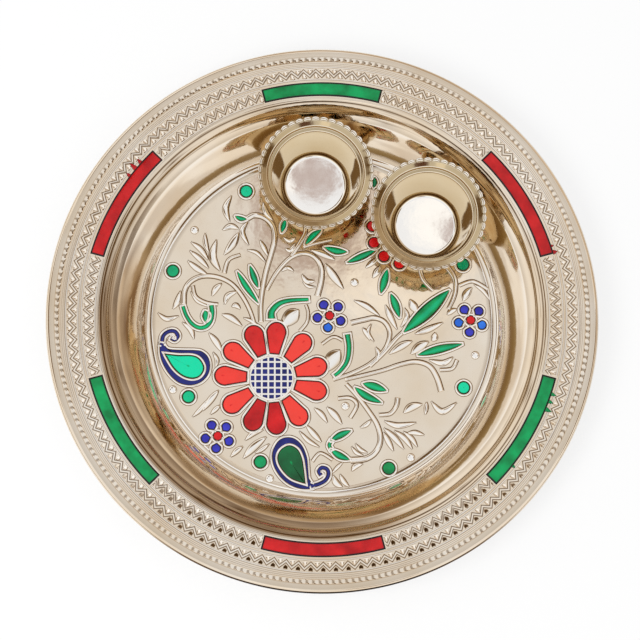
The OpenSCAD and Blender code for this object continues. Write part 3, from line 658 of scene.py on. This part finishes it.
def zigzag_rows(inner, outer, swing):
    """Rows across a zigzag band: (radius, share of the swing, height, how much of it is a pit, mark)."""
    middle = (inner + outer) / 2
    low, ridge = inner + 0.5, middle - 1.2
    # The marks paint highlights on the tops of the raised lines and ridges, and shade on their sides and at
    # their feet
    half = [(inner, 0, 0, 0, 0.5), (inner + 0.1, 0, 1, 0, -0.7), (inner + 0.4, 0, 1, 0, -0.7),
            (low, 0, 0, 0, 0.4)]
    half += [(low + (ridge - low) * share, share, 0, pit, 0)
             for share, pit in ((0.15, 0), (0.35, 1), (0.65, 1), (0.9, 0))]
    half += [(middle - offset, 1, height, 0, mark)
             for offset, height, mark in ((1.15, 0, 0.2), (0.95, 0.6, 0.9), (0.6, 1, 0.8), (0.35, 1, -0.2))]
    mirrored = [(inner + outer - r, share, height, -pit, mark) for r, share, height, pit, mark in half[::-1]]
    return [(r, share * swing, height, pit, mark)
            for r, share, height, pit, mark in half + [(middle, 1, 0.8, 0, -0.4)] + mirrored]


def rim_pattern():
    """The rim's bands as one skin whose columns and rows follow the corners of its zigzags."""
    columns = TEETH * STEPS_PER_TOOTH
    turns = around(columns)
    phase = np.arange(columns) / STEPS_PER_TOOTH % 1
    wave = 1 - 4 * np.abs(phase - 0.5)
    brown = facing(turns, BROWN_SIDE, 1.6, 0.5)
    notch = np.clip(2.2 * np.abs((2 * phase) % 1 - 0.5) - 0.1, 0, 1)
    by_bar = np.min([np.abs((turns - middle + 180) % 360 - 180) for middle in BARS.values()], axis=0)
    free = (by_bar > BAR_TURN / 2 + 0.3).astype(float)
    rows, marks = [], []

    def add(radius, height, mark):
        rows.append(at_height(polar(radius, turns), RIM_Z + height))
        marks.append(mark)

    def line(start, slant, height, foot_mark, top_mark):
        """A fine raised line round the rim, whose foot and top marks paint shade at its foot and a highlight on
        its top.
        """
        for offset, share, mark in ((0, 0, foot_mark), (slant, 1, top_mark), (LINE_W - slant, 1, top_mark),
                                    (LINE_W, 0, foot_mark)):
            add(start + offset, height * share, mark)

    add(WELL_R, 0, 0)
    for inner, outer in ((BAR_IN, BAR_OUT), (OUTER_BAND, FINE_R)):
        beside_bars = outer == BAR_OUT
        shown = free if beside_bars else np.ones(columns)
        for radius, offset, height, pit, mark in zigzag_rows(inner, outer, (outer - inner) / 2 - 1.9):
            # Pits get a painted highlight, and on one side of the tray the outer pits get brown to nearly black
            # painted shade instead
            room = np.clip(1.7 * wave * pit - 0.6, 0, 1) * abs(pit)
            shaded_pits = brown * (pit < 0)
            add(radius + offset * wave * shown, (RIDGE_H * height - PIT_DEPTH * room) * shown,
                (mark + 1.7 * shaded_pits * np.clip(3 * room, 0, 1) - room * (1 - shaded_pits)) * shown)
        if beside_bars:
            line(outer + LINE_GAP, 0.1, RIDGE_H, 0, 0)
    for i in range(FINE_LINES):
        line(FINE_R + LINE_GAP + i * (LINE_W + LINE_GAP), 0.12, 0.3 * RIDGE_H, 0.3, -0.2)
    add(NOTCH_R - 0.05, 0, 0)
    # The notch band's marks paint highlights on its edges and notches and shade between the notches, and a
    # painted dark line runs just outside it
    for offset in (0.2, 0.6, NOTCH_BAND_W - 0.6, NOTCH_BAND_W - 0.2):
        edge = offset in (0.2, NOTCH_BAND_W - 0.2)
        add(NOTCH_R + offset, RIDGE_H * (1 if edge else 0.4 + 0.6 * notch),
            -0.1 if edge else 0.8 - 1.8 * np.minimum(notch, 0.6))
    for offset, mark in ((0, 0.3), (0.4, 0.15)):
        add(NOTCH_R + NOTCH_BAND_W + offset, 0, mark)
    add(ROLL_START, 0, 0.25)
    shell = Shell()
    shell.grid(rows[::-1], marks[::-1], True)
    tray_piece("rim_pattern", shell, 28)


# A bar's thickness in the middle, and the columns of its middle part
BAR_H, BAR_COLUMNS = 0.31, 48


def rim_bar(node, middle):
    """An enamel bar of the rim, with a painted dark line of shade all round it."""
    ends = BAR_TURN / 2
    deep = 0.2 if SLOTS[node] == "red_enamel" else 0.12
    # From the edge inwards: distance, height and mark
    margin = np.array([(0, 0, 1), (0.3, 0.16, 1), (0.6, 0.22, 0.95), (0.85, 0.26, 0.5), (1.2, 0.3, deep)])
    rows = [(BAR_OUT - d, z, m) for d, z, m in margin]
    rows += [(BAR_OUT - INNER_BAND_W * share, BAR_H, deep) for share in (0.3, 0.5, 0.7)]
    rows += [(BAR_IN + d, z, m) for d, z, m in margin[::-1]]
    start = np.degrees(margin[:, 0] / BAR_IN) - ends
    turns = np.concatenate([start, np.linspace(-ends + 0.9, ends - 0.9, BAR_COLUMNS), -start[::-1]])
    heights, marks = (np.concatenate([margin[:, i], np.full(BAR_COLUMNS, full), margin[::-1, i]])
                      for i, full in ((1, BAR_H), (2, deep)))
    shell = Shell()
    shell.grid([at_height(polar(r, turns + middle), RIM_Z + np.minimum(heights, z)) for r, z, _ in rows],
               [np.maximum(marks, m) for _, _, m in rows], False)
    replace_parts(enamel_piece(node, shell), node)


# Where enamel ran from a bar into the zigzags: degrees round the rim, width, length
SPILLS = {"red_bar_left": [(139.4, 2.4, 2.8), (141.3, 2.8, 4.3), (143.6, 2.2, 2.4)],
          "green_bar_right": [(336.9, 2.6, 3.2), (338.9, 2.2, 2.4), (340.8, 2.2, 2.6), (321.2, 1.8, 1.6)],
          "red_bar_right": [(15.6, 2.6, 2.2), (17.2, 1.6, 1.2)]}


def spill(node, teeth):
    shell = Shell()
    for degrees, wide, long in teeth:
        half = math.degrees(wide / 2 / BAR_OUT)
        radii = BAR_OUT + np.array([-0.3, -0.3, 0.5 * long, long, 0.4 * long])
        # A spill's edge has a painted dark line of shade
        shell.pad(polar(radii, degrees + half * np.array([1, -1, -0.75, -0.1, 0.6])),
                  [(0.05, 0.05, 1), (-0.05, RIDGE_H + 0.03, 0.9), (-0.2, RIDGE_H + 0.08, 0.3)], 0.02, RIM_Z)
    enamel_piece(node, shell, "_spill")


# Floor pattern

# Rows across a ridge: share of its half width, distance beyond that, height, mark. On metal the marks paint
# brown shade on the sides and a highlight on the top; on enamel they paint a dark line of shade at the edges.
STEM_ROWS = [
    (-1, -0.75, 0, 0), (-1, -0.45, -0.02, 0.6), (-1, -0.1, 0.2, 0.95), (-0.9, 0, 0.36, 0.3),
    (-0.5, 0, 0.5, -0.6), (0, 0, 0.56, -0.7), (0.5, 0, 0.5, -0.5), (0.9, 0, 0.36, 0.3), (1, 0.1, 0.2, 1),
    (1, 0.5, -0.02, 0.9), (1, 0.85, 0, 0)]
LEAF_ROWS = [
    (-1, -0.6, 0, 0), (-1, -0.35, -0.02, 0.55), (-1, -0.08, 0.2, 0.8), (-0.9, 0, 0.34, 0.2),
    (-0.6, 0, 0.46, -0.7), (-0.25, 0, 0.56, -0.9), (0.1, 0, 0.6, -0.9), (0.45, 0, 0.52, -0.6),
    (0.75, 0, 0.4, 0.1), (0.92, 0, 0.3, 0.6), (1, 0.1, 0.18, 0.95), (1, 0.4, -0.02, 0.75), (1, 0.7, 0, 0)]
FILL_EDGES = [
    (-1, 0.1, 0.1, 1), (-1, -0.05, 0.22, 1), (-0.75, 0, 0.3, 0.3), (-0.4, 0, 0.33, -0.3), (0, 0, 0.35, -0.35),
    (0.4, 0, 0.33, 0), (0.75, 0, 0.3, 0.3), (1, 0.05, 0.22, 1), (1, -0.1, 0.1, 1)]
# Rows round an outline: distance outwards from it, height, mark. On metal the marks paint shade on the sides and
# a highlight on the top; on enamel they paint a dark line of shade at the edge.
WALL_ROWS = [
    (CELL_WALL + 0.55, 0, 0), (CELL_WALL + 0.3, -0.02, 0.75), (CELL_WALL, 0.2, 0.85),
    (CELL_WALL - 0.15, 0.42, -0.6), (0.7, 0.5, -1), (0.4, 0.5, -1), (0.15, 0.36, 0), (0, 0.25, 1), (-0.1, 0, 1)]
FILL_ROWS = [(0.1, 0.1, 1), (-0.1, 0.2, 1), (-0.35, 0.26, 0.9), (-0.55, 0.29, 0.35)]
CHECK_ROWS = [(0.12, 0.3, 0.5), (0.05, 1.1 * RELIEF, 0.5), (-0.25, 1.25 * RELIEF, 0)]
DISC_ROWS = [(0.55, 0, 0), (0.3, -0.02, 0.75), (0, 0.2, 0.85), (-0.2, RELIEF, -0.8), (-0.6, 1.02 * RELIEF, -0.8)]
DOME_ROWS = [(0.5, 0, 0), (0.3, -0.02, 0.5), (0.05, 0.2, 0.6), (-0.25, 0.4, -0.8), (-0.7, 0.52, -1)]
# How high the floor's pattern may stand under a cell's enamel and under a bowl's foot
UNDER_CELLS, UNDER_BOWLS = 0.05, 0.33
# How thin the enamel lies in the middle of a cell: below 0 is lighter
THIN = {"main_flower_petals": (-0.2, -0.15, -0.7, -0.6, -0.7, 0.22, 0.12, -0.7, -0.65, -0.75, -0.7),
        "green_dots": (-0.7, -0.25, -0.5, -0.1, 0.25, -0.9, -0.2),
        "paisley_drops": (-0.9, 0.55), "small_flower_petals": (-0.1, 0.1)}


def leaf_line(row):
    """The middle line of a leaf and its half widths, which swell as a lens does."""
    *points, width = row
    line = spline(floor_line(points), LEAF_STEPS)
    swell = np.sin(np.linspace(0, math.pi, len(line)))
    return line, width * PIXEL / 2 * np.maximum(swell, 0.06)


def stroke_line(row):
    *points, width, end_width = row
    line = spline(floor_line(points), STROKE_STEPS)
    return line, np.linspace(width, end_width, len(line)) * PIXEL / 2


def outline_of(line, halves):
    left = left_of(line) * halves[:, None]
    return np.concatenate([line + left, (line - left)[::-1]])


def circle(place, radius_px, count=32):
    return on_floor(place) + polar(radius_px * PIXEL, around(count))


def petal(angle):
    """A petal of the main flower: a narrow base with straight sides, and a round end."""
    turn = np.radians(np.arange(-90, 91, 12))
    along = [PETAL_IN, *(PETAL_OUT - PETAL_END + PETAL_END * np.cos(turn)), PETAL_IN]
    across = [-PETAL_BASE / 2, *(PETAL_W / 2 * np.sin(turn)), PETAL_BASE / 2]
    return turned(np.column_stack([along, across]) * PIXEL, angle, MAIN_FLOWER)


def turned(flat, angle, place):
    c, s = math.cos(math.radians(angle)), math.sin(math.radians(angle))
    return flat @ np.array([[c, s], [-s, c]]) + on_floor(place)


def small_petal(place, angle):
    """A drop-shaped petal whose point looks at the flower's heart."""
    tilt = 180 - math.degrees(math.acos(SMALL_R / (SMALL_MID - SMALL_IN + SMALL_R)))
    arc = polar(SMALL_R, np.linspace(-tilt, tilt, 19)) + (SMALL_MID, 0)
    return turned(np.concatenate([[(SMALL_IN, 0)], arc]) * PIXEL, angle, place)


def small_petals(light):
    return [small_petal(place, start - 72 * k) for f, (place, start) in enumerate(SMALL_FLOWERS)
            for k in range(5) if ((f, k) in LIGHT_PETALS) == light]


def check_squares():
    """The chequered centre's squares, cut to its circle."""
    squares = []
    for i in range(-CHECK_REACH, CHECK_REACH + 1):
        for j in range(-CHECK_REACH, CHECK_REACH + 1):
            middle = np.array([i, j]) * CHECK_PITCH
            square = [middle + CHECK / 2 * np.array(c) for c in ((-1, -1), (1, -1), (1, 1), (-1, 1))]
            for degrees in range(0, 360, 10):
                square = clipped(square, polar(1, degrees))
            if len(square) > 2:
                squares.append(np.array(square) * PIXEL + on_floor(MAIN_FLOWER))
    return squares


def clipped(corners, outward):
    """What is left of a convex outline on the inner side of the checks' edge in one direction."""
    kept = []
    for a, b in zip(corners, corners[1:] + corners[:1]):
        out_a, out_b = a @ outward - CHECKS_R, b @ outward - CHECKS_R
        if out_a <= 0:
            kept.append(a)
        if out_a * out_b < 0:
            kept.append(a + (b - a) * out_a / (out_a - out_b))
    return kept


def closed_spline(points):
    """A smooth closed outline with its one sharp corner at its first point."""
    return spline(floor_line(points), OUTLINE_STEPS)[:-1]


def bowl_middle(node):
    low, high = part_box(node)
    return np.array([(low.x + high.x) / 2, (low.y + high.y) / 2]) / MM


def floor_pattern():
    stems, leaves, walls = Shell(), Shell(), Shell()
    for row in STEMS:
        stems.band(*stroke_line(row), STEM_ROWS)
    for row in BARE_LEAVES:
        leaves.band(*leaf_line(row), LEAF_ROWS)
    for place in BARE_DOTS:
        leaves.pad(circle(place, BARE_DOT_R), DOME_ROWS, 0.1)

    cells = [circle(MAIN_FLOWER, CHECKS_R, 64)]
    fills = {
        "main_flower_petals": [petal(a) for a in PETAL_ANGLES],
        "small_flower_petals": small_petals(False),
        "light_blue_petals": small_petals(True),
        "small_flower_hearts": [circle(place, HEART_R) for place, _ in SMALL_FLOWERS],
        "half_hidden_flower_petals": [
            on_floor(HIDDEN_FLOWER) + polar(HIDDEN_MID * PIXEL, HIDDEN_TURN + 360 / HIDDEN_COUNT * k)
            + polar(HIDDEN_R * PIXEL, around(28)) for k in range(HIDDEN_COUNT)],
        "green_dots": [circle(place, DOT_R) for place in DOTS],
        "paisley_drops": [closed_spline(points) for points in DROPS]}
    for node, outlines in fills.items():
        # The drops and their ridges stand a little above the bands that run round them
        lift, wall_lift = (0.12, 0.05) if node == "paisley_drops" else (0, 0)
        shell = Shell()
        for outline, thin in zip(outlines, cycle(THIN.get(node, (0,)))):
            shell.pad(outline, FILL_ROWS + [(-0.85, 0.32, thin)], 0.06, FLOOR_Z + lift)
            walls.wall(outline, WALL_ROWS, FLOOR_Z + wall_lift)
        cells += outlines
        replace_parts(enamel_piece(node, shell), node)

    shell = Shell()
    for square in check_squares():
        shell.pad(square, CHECK_ROWS, 0.03)
    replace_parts(enamel_piece("main_flower_checks", shell), "main_flower_checks")
    walls.pad(circle(MAIN_FLOWER, CHECKS_R + CELL_WALL / PIXEL, 64), DISC_ROWS)

    shell, borders, tails = Shell(), Shell(), Shell()
    border_cells = [counterclockwise(closed_spline(points)) for points in BANDS]
    for outline in border_cells:
        shell.pad(outline, FILL_ROWS[:2] + [(-0.3, 0.24, 0)])
        borders.wall(outline, WALL_ROWS)
    tail_cells = []
    for points in TAILS:
        line, halves = stroke_line((*points, TAIL_W, TAIL_W))
        shell.band(line, halves, FILL_EDGES)
        tail_cells.append(counterclockwise(outline_of(line, halves)))
        tails.wall(tail_cells[-1], WALL_ROWS)
    # Where a band runs into its tail, neither has a ridge
    borders.sink([grown(outline, -0.3) for outline in tail_cells], FLOOR_Z)
    tails.sink([grown(outline, -0.3) for outline in border_cells], FLOOR_Z)
    walls.join(borders)
    walls.join(tails)
    cells += border_cells + tail_cells
    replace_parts(enamel_piece("paisley_borders", shell), "paisley_borders")

    shell = Shell()
    for line, halves in [*map(leaf_line, GREEN_LEAVES), *map(stroke_line, GREEN_STROKES)]:
        shell.band(line, halves, FILL_EDGES)
        walls.wall(outline_of(line, halves), WALL_ROWS)
        cells.append(outline_of(line, halves))
    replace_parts(enamel_piece("green_leaves", shell), "green_leaves")

    covered = [grown(counterclockwise(outline), CELL_WALL / 2) for outline in cells]
    feet = [bowl_middle(node) + polar(FOOT_R + 3, around(36)) for node in BOWLS]
    for name, shell in (("floor_stems", stems), ("floor_leaves", leaves), ("cell_ridges", walls)):
        if shell != walls:
            shell.sink(covered, FLOOR_Z + UNDER_CELLS)
        shell.sink(feet, FLOOR_Z + UNDER_BOWLS)
        tray_piece(name, shell)


# Bowls

BOWL_LEGS = [
    (FOOT_R, 0), (FOOT_CURVE_R, FOOT_SLOPE), (BOWL_WALL_R, BOWL_WALL_SLOPE - FOOT_SLOPE),
    (BOWL_BEND_R, BOWL_STEP_SLOPE - BOWL_WALL_SLOPE), (BOWL_STEP_W, 0),
    (BOWL_BEND_R, BOWL_RISE_SLOPE - BOWL_STEP_SLOPE), (BOWL_STEP_RISE, 0),
    (BOWL_BEND_R, FLANGE_SLOPE - BOWL_RISE_SLOPE), (0.2, 0), (FLANGE_W - 0.2, 0)]
# The share of the flange without scallops, and the columns of each scallop
SCALLOP_START, SCALLOP_COLUMNS = 0.5, 10
# Across the scalloped part of the flange: share of its width, height of the pattern, mark; the marks paint
# highlights on the raised arches and shade between them
SCALLOP_ROWS = [
    (-0.06, 0, 0.3), (0, 0, 0.3), (0.08, 0.08, -0.6), (0.16, 0, 0.7), (0.26, 0, 0.7), (0.36, 0.14, -0.9),
    (0.52, 0.14, -0.9), (0.6, 0, 0.9), (0.68, 0, 0.9), (0.76, 0.16, -1), (0.93, 0.14, -1), (1, 0, 0.2)]
# How much lower the flange's edge lies between two scallops
SCALLOP_DIP = 0.15
# Marks by slope in degrees along a bowl's inside, up to the top of its wall: a painted highlight on the flat
# floor and painted shade where it curves up into the wall
BOWL_MARKS = [(0, -1), (20, -1), (26, 0.2), (32, 1), (50, 1), (62, 0.4), (74, 0.2), (80, 0)]
# Marks by slope from there on, over the step, its rise and the flange: painted shade on the step and the flange,
# and a painted highlight on the rise
BRIM_MARKS = [(10, 0.35), (20, 0.3), (30, -0.5), (65, -0.3), (80, 0.1)]


def bowl(node):
    """A bowl turned from sheet, with arches pressed into the edge of its flange."""
    middle, foot = bowl_middle(node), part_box(node)[0].z / MM
    path = walk((0, BOWL_SHEET / 2, 0), BOWL_LEGS, TURN)
    upper, lower = faces_of_sheet(path[1:], BOWL_SHEET)
    columns = SCALLOPS * SCALLOP_COLUMNS
    turns = around(columns)
    arch = np.abs(np.sin(np.radians(turns * SCALLOPS / 2)))
    slope = math.radians(FLANGE_SLOPE)
    run = FLANGE_W * math.cos(slope)

    def flange(edge):
        """Rows and marks of the flange's scalloped part, up to its edge."""
        start_r, start_z = edge[0] - run, edge[1] - FLANGE_W * math.sin(slope)
        inner = start_r + run * SCALLOP_START
        reach = edge[0] - SCALLOP_DEPTH * (1 - arch) - inner
        rows, marks = [], []
        for share, height, mark in SCALLOP_ROWS:
            r = inner + reach * share
            z = start_z + (r - start_r) * math.tan(slope)
            z = z + height * arch - SCALLOP_DIP * (1 - arch) ** 2 * share
            rows.append(at_height(polar(r, turns), z))
            # Painted shade where the flange dips between two scallops
            marks.append(np.clip(mark + 1.8 * (1 - arch) ** 4 * (share > 0.3), -1, 0.8))
        return rows, marks

    def ring(r, z):
        return at_height(polar(r, turns), z)

    upper_flange, upper_marks = flange(upper[-1])
    lower_flange, lower_marks = flange(lower[-1])
    rows = [ring(AXIS_R, BOWL_SHEET)] + [ring(r, z) for r, z in upper[:-1]] + upper_flange + lower_flange[::-1]
    rows += [ring(r, z) for r, z in lower[-2::-1]] + [ring(AXIS_R, 0)]
    slopes = [0] + [a for _, _, a in path[1:-1]]
    wall_top = slopes.index(max(slopes))
    marks = [np.interp(a, *zip(*(BOWL_MARKS if i < wall_top else BRIM_MARKS))) for i, a in enumerate(slopes)]
    marks += upper_marks + lower_marks[::-1] + [0] * len(lower)
    rows = [row + (*middle, foot) for row in rows]
    shell = Shell()
    shell.grid(rows[::-1], marks[::-1], True)
    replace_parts(shell.piece(node + "_shell", node, SLOTS[node], GOLD, SHARP), node)


# Floor, light and camera

# Degrees off the vertical and to the side, distance, width of the view there and the point looked at, in metres
CAMERA_TILT, CAMERA_SIDE = 10.25, -5
CAMERA_FAR, VIEW_WIDE = 1.25, 0.329
LOOK_AT = (-0.00098, 0.00129, 0.0008)
LAMP_PLACE, LAMP_SIZE, LAMP_POWER = (-0.5, -0.3, 0.9), 0.5, 6
FLOOR_HALF = 2.5
# The studio's colours by height, 0 at the horizon and 1 overhead
STUDIO = [
    (0, (0.18, 0.11, 0.04)), (0.12, (0.26, 0.17, 0.07)), (0.17, (0.36, 0.26, 0.13)), (0.185, (0.97, 0.94, 0.9)),
    (0.4, (1.04, 1.03, 1.02)), (0.9, (1, 1, 1)), (0.955, (0.9, 0.91, 0.93)), (1, (0.86, 0.88, 0.91))]
LOW_PATCHES, FAR_SIDE = (0.3, 0.2, 0.12), (0.66, 0.75, 0)
MOTTLED = [(0.36, (0.78, 0.66, 0.52)), (0.5, (0.52, 0.38, 0.24)), (0.62, (0.24, 0.14, 0.07))]
# Dark and bright spots: direction, size and soft edge in degrees, how ragged the edge is, colour
BROWN_DARK = (0.2, 0.12, 0.05)
SPOTS = [
    ((0.55, 0.03, 0.84), 8, 3, 0.04, BROWN_DARK), ((-0.48, 0.16, 0.86), 8, 3, 0.04, BROWN_DARK),
    ((-0.19, 0.43, 0.885), 7, 3, 0.04, BROWN_DARK), ((0.045, 0.21, 0.98), 1.4, 1, 0, (1.05, 1.03, 1)),
    ((0.0134, 0.221, 0.9728), 1.25, 0.5, 0, (0.55, 0.46, 0.43)),
    ((0.143, -0.408, 0.901), 4.5, 1.5, 0, (0.16, 0.07, 0.04)),
    ((-0.1, -0.412, 0.901), 3, 1.5, 0, (1.4, 1.38, 1.32))]
# What matt surfaces get from the world
SOFT_LIGHT = (0.72, 0.72, 0.72)


def world():
    """White behind the object, and a soft studio for what the metal mirrors.

    The studio is a little dim overhead, white round that, and brown near the horizon and on a far side.
    """
    made = bpy.data.worlds.new("studio")
    bpy.context.scene.world = made
    n = Nodes(made)
    place = n.add("TexCoord").outputs["Generated"]
    height = n.add("SeparateXYZ", Vector=place).outputs["Z"]
    stretched = n.add("Mapping", Vector=place, Scale=(1.3, 1.3, 3.5)).outputs["Vector"]
    cloud, uneven = n.noise(1.6, 4, stretched), n.noise(7, 3, place)

    def towards(direction):
        return n.result("DOT_PRODUCT", place, direction, kind="VectorMath")

    def spot(direction, size, edge, ragged):
        """1 near a direction and 0 away from it."""
        near = towards(Vector(direction).normalized())
        if ragged:
            near = n.result("MULTIPLY_ADD", uneven, ragged, near)
        fade = n.add("MapRange", Value=near, From_Min=math.cos(math.radians(size + edge)) + ragged / 2,
                     From_Max=math.cos(math.radians(size)) + ragged / 2)
        fade.interpolation_type = "SMOOTHSTEP"
        return fade.outputs["Result"]

    low = n.result("MULTIPLY", n.ramp(cloud, [(0.46, 0), (0.56, 1)]),
                   n.ramp(height, [(0, 0.3), (0.3, 0.25), (0.5, 0)]))
    studio = n.mix(low, n.ramp(height, STUDIO), LOW_PATCHES)
    far_side = n.ramp(towards(FAR_SIDE), [(0.42, 0), (0.58, 0.75), (0.9, 0.9)])
    studio = n.mix(far_side, studio, n.ramp(cloud, MOTTLED))
    for direction, size, edge, ragged, colour in SPOTS:
        studio = n.mix(spot(direction, size, edge, ragged), studio, colour)

    rays = n.add("LightPath")
    mirrored = n.mix(rays.outputs["Is Glossy Ray"], SOFT_LIGHT, studio)
    seen = n.mix(rays.outputs["Is Camera Ray"], mirrored, (1, 1, 1))
    n.fill(n.tree.nodes["Background"], Color=seen)


def studio_floor():
    """A pale floor that looks white to the camera and still takes the object's shadow."""
    mesh = bpy.data.meshes.new("studio_floor")
    corners = [(x * FLOOR_HALF, y * FLOOR_HALF, -0.0001) for x, y in ((-1, -1), (1, -1), (1, 1), (-1, 1))]
    mesh.from_pydata(corners, [], [(0, 1, 2, 3)])
    floor = placed("studio_floor", mesh)
    n = Nodes(bpy.data.materials.new("studio_floor"))
    n.tree.nodes.remove(n.tree.nodes["Principled BSDF"])
    matt = n.add("BsdfDiffuse", Color=(0.9, 0.9, 0.9, 1)).outputs["BSDF"]
    glow = n.add("Emission", Color=(1, 1, 1, 1), Strength=1).outputs["Emission"]
    seen = n.add("LightPath").outputs["Is Camera Ray"]
    mixed = n.add("MixShader", Fac=n.result("MULTIPLY", seen, 0.8))
    n.feed(mixed.inputs[1], matt)
    n.feed(mixed.inputs[2], glow)
    n.fill(n.tree.nodes["Material Output"], Surface=mixed.outputs["Shader"])
    mesh.materials.append(n.owner)


def key_lamp():
    """A soft lamp that the metal doesn't mirror."""
    light = bpy.data.lights.new("key_lamp", "AREA")
    light.size, light.energy = LAMP_SIZE, LAMP_POWER
    made = placed("key_lamp", light)
    made.location = LAMP_PLACE
    made.rotation_mode = "QUATERNION"
    made.rotation_quaternion = (-Vector(LAMP_PLACE)).to_track_quat("-Z", "Y")
    made.visible_glossy = False


def camera():
    """The photograph's camera: high above the tray, a little in front, with the image's width along X."""
    tilt, side = math.radians(CAMERA_TILT), math.radians(CAMERA_SIDE)
    back = Vector((math.sin(side) * math.sin(tilt), -math.cos(side) * math.sin(tilt), math.cos(tilt)))
    right = Vector((1, 0, 0)) - back * back.x
    right.normalize()
    up = back.cross(right)
    data = bpy.data.cameras.new("camera")
    data.sensor_width = 36
    data.lens = data.sensor_width * CAMERA_FAR / VIEW_WIDE
    made = placed("camera", data)
    made.matrix_world = Matrix.Translation(Vector(LOOK_AT) + back * CAMERA_FAR) @ Matrix(
        (right, up, back)).transposed().to_4x4()
    bpy.context.scene.camera = made


tray_body()
rim_pattern()
for bar, bar_middle in BARS.items():
    rim_bar(bar, bar_middle)
for bar, teeth in SPILLS.items():
    spill(bar, teeth)
floor_pattern()
for loose_bowl in BOWLS:
    bowl(loose_bowl)
world()
studio_floor()
key_lamp()
camera()
bpy.context.scene.view_settings.view_transform = "Standard"
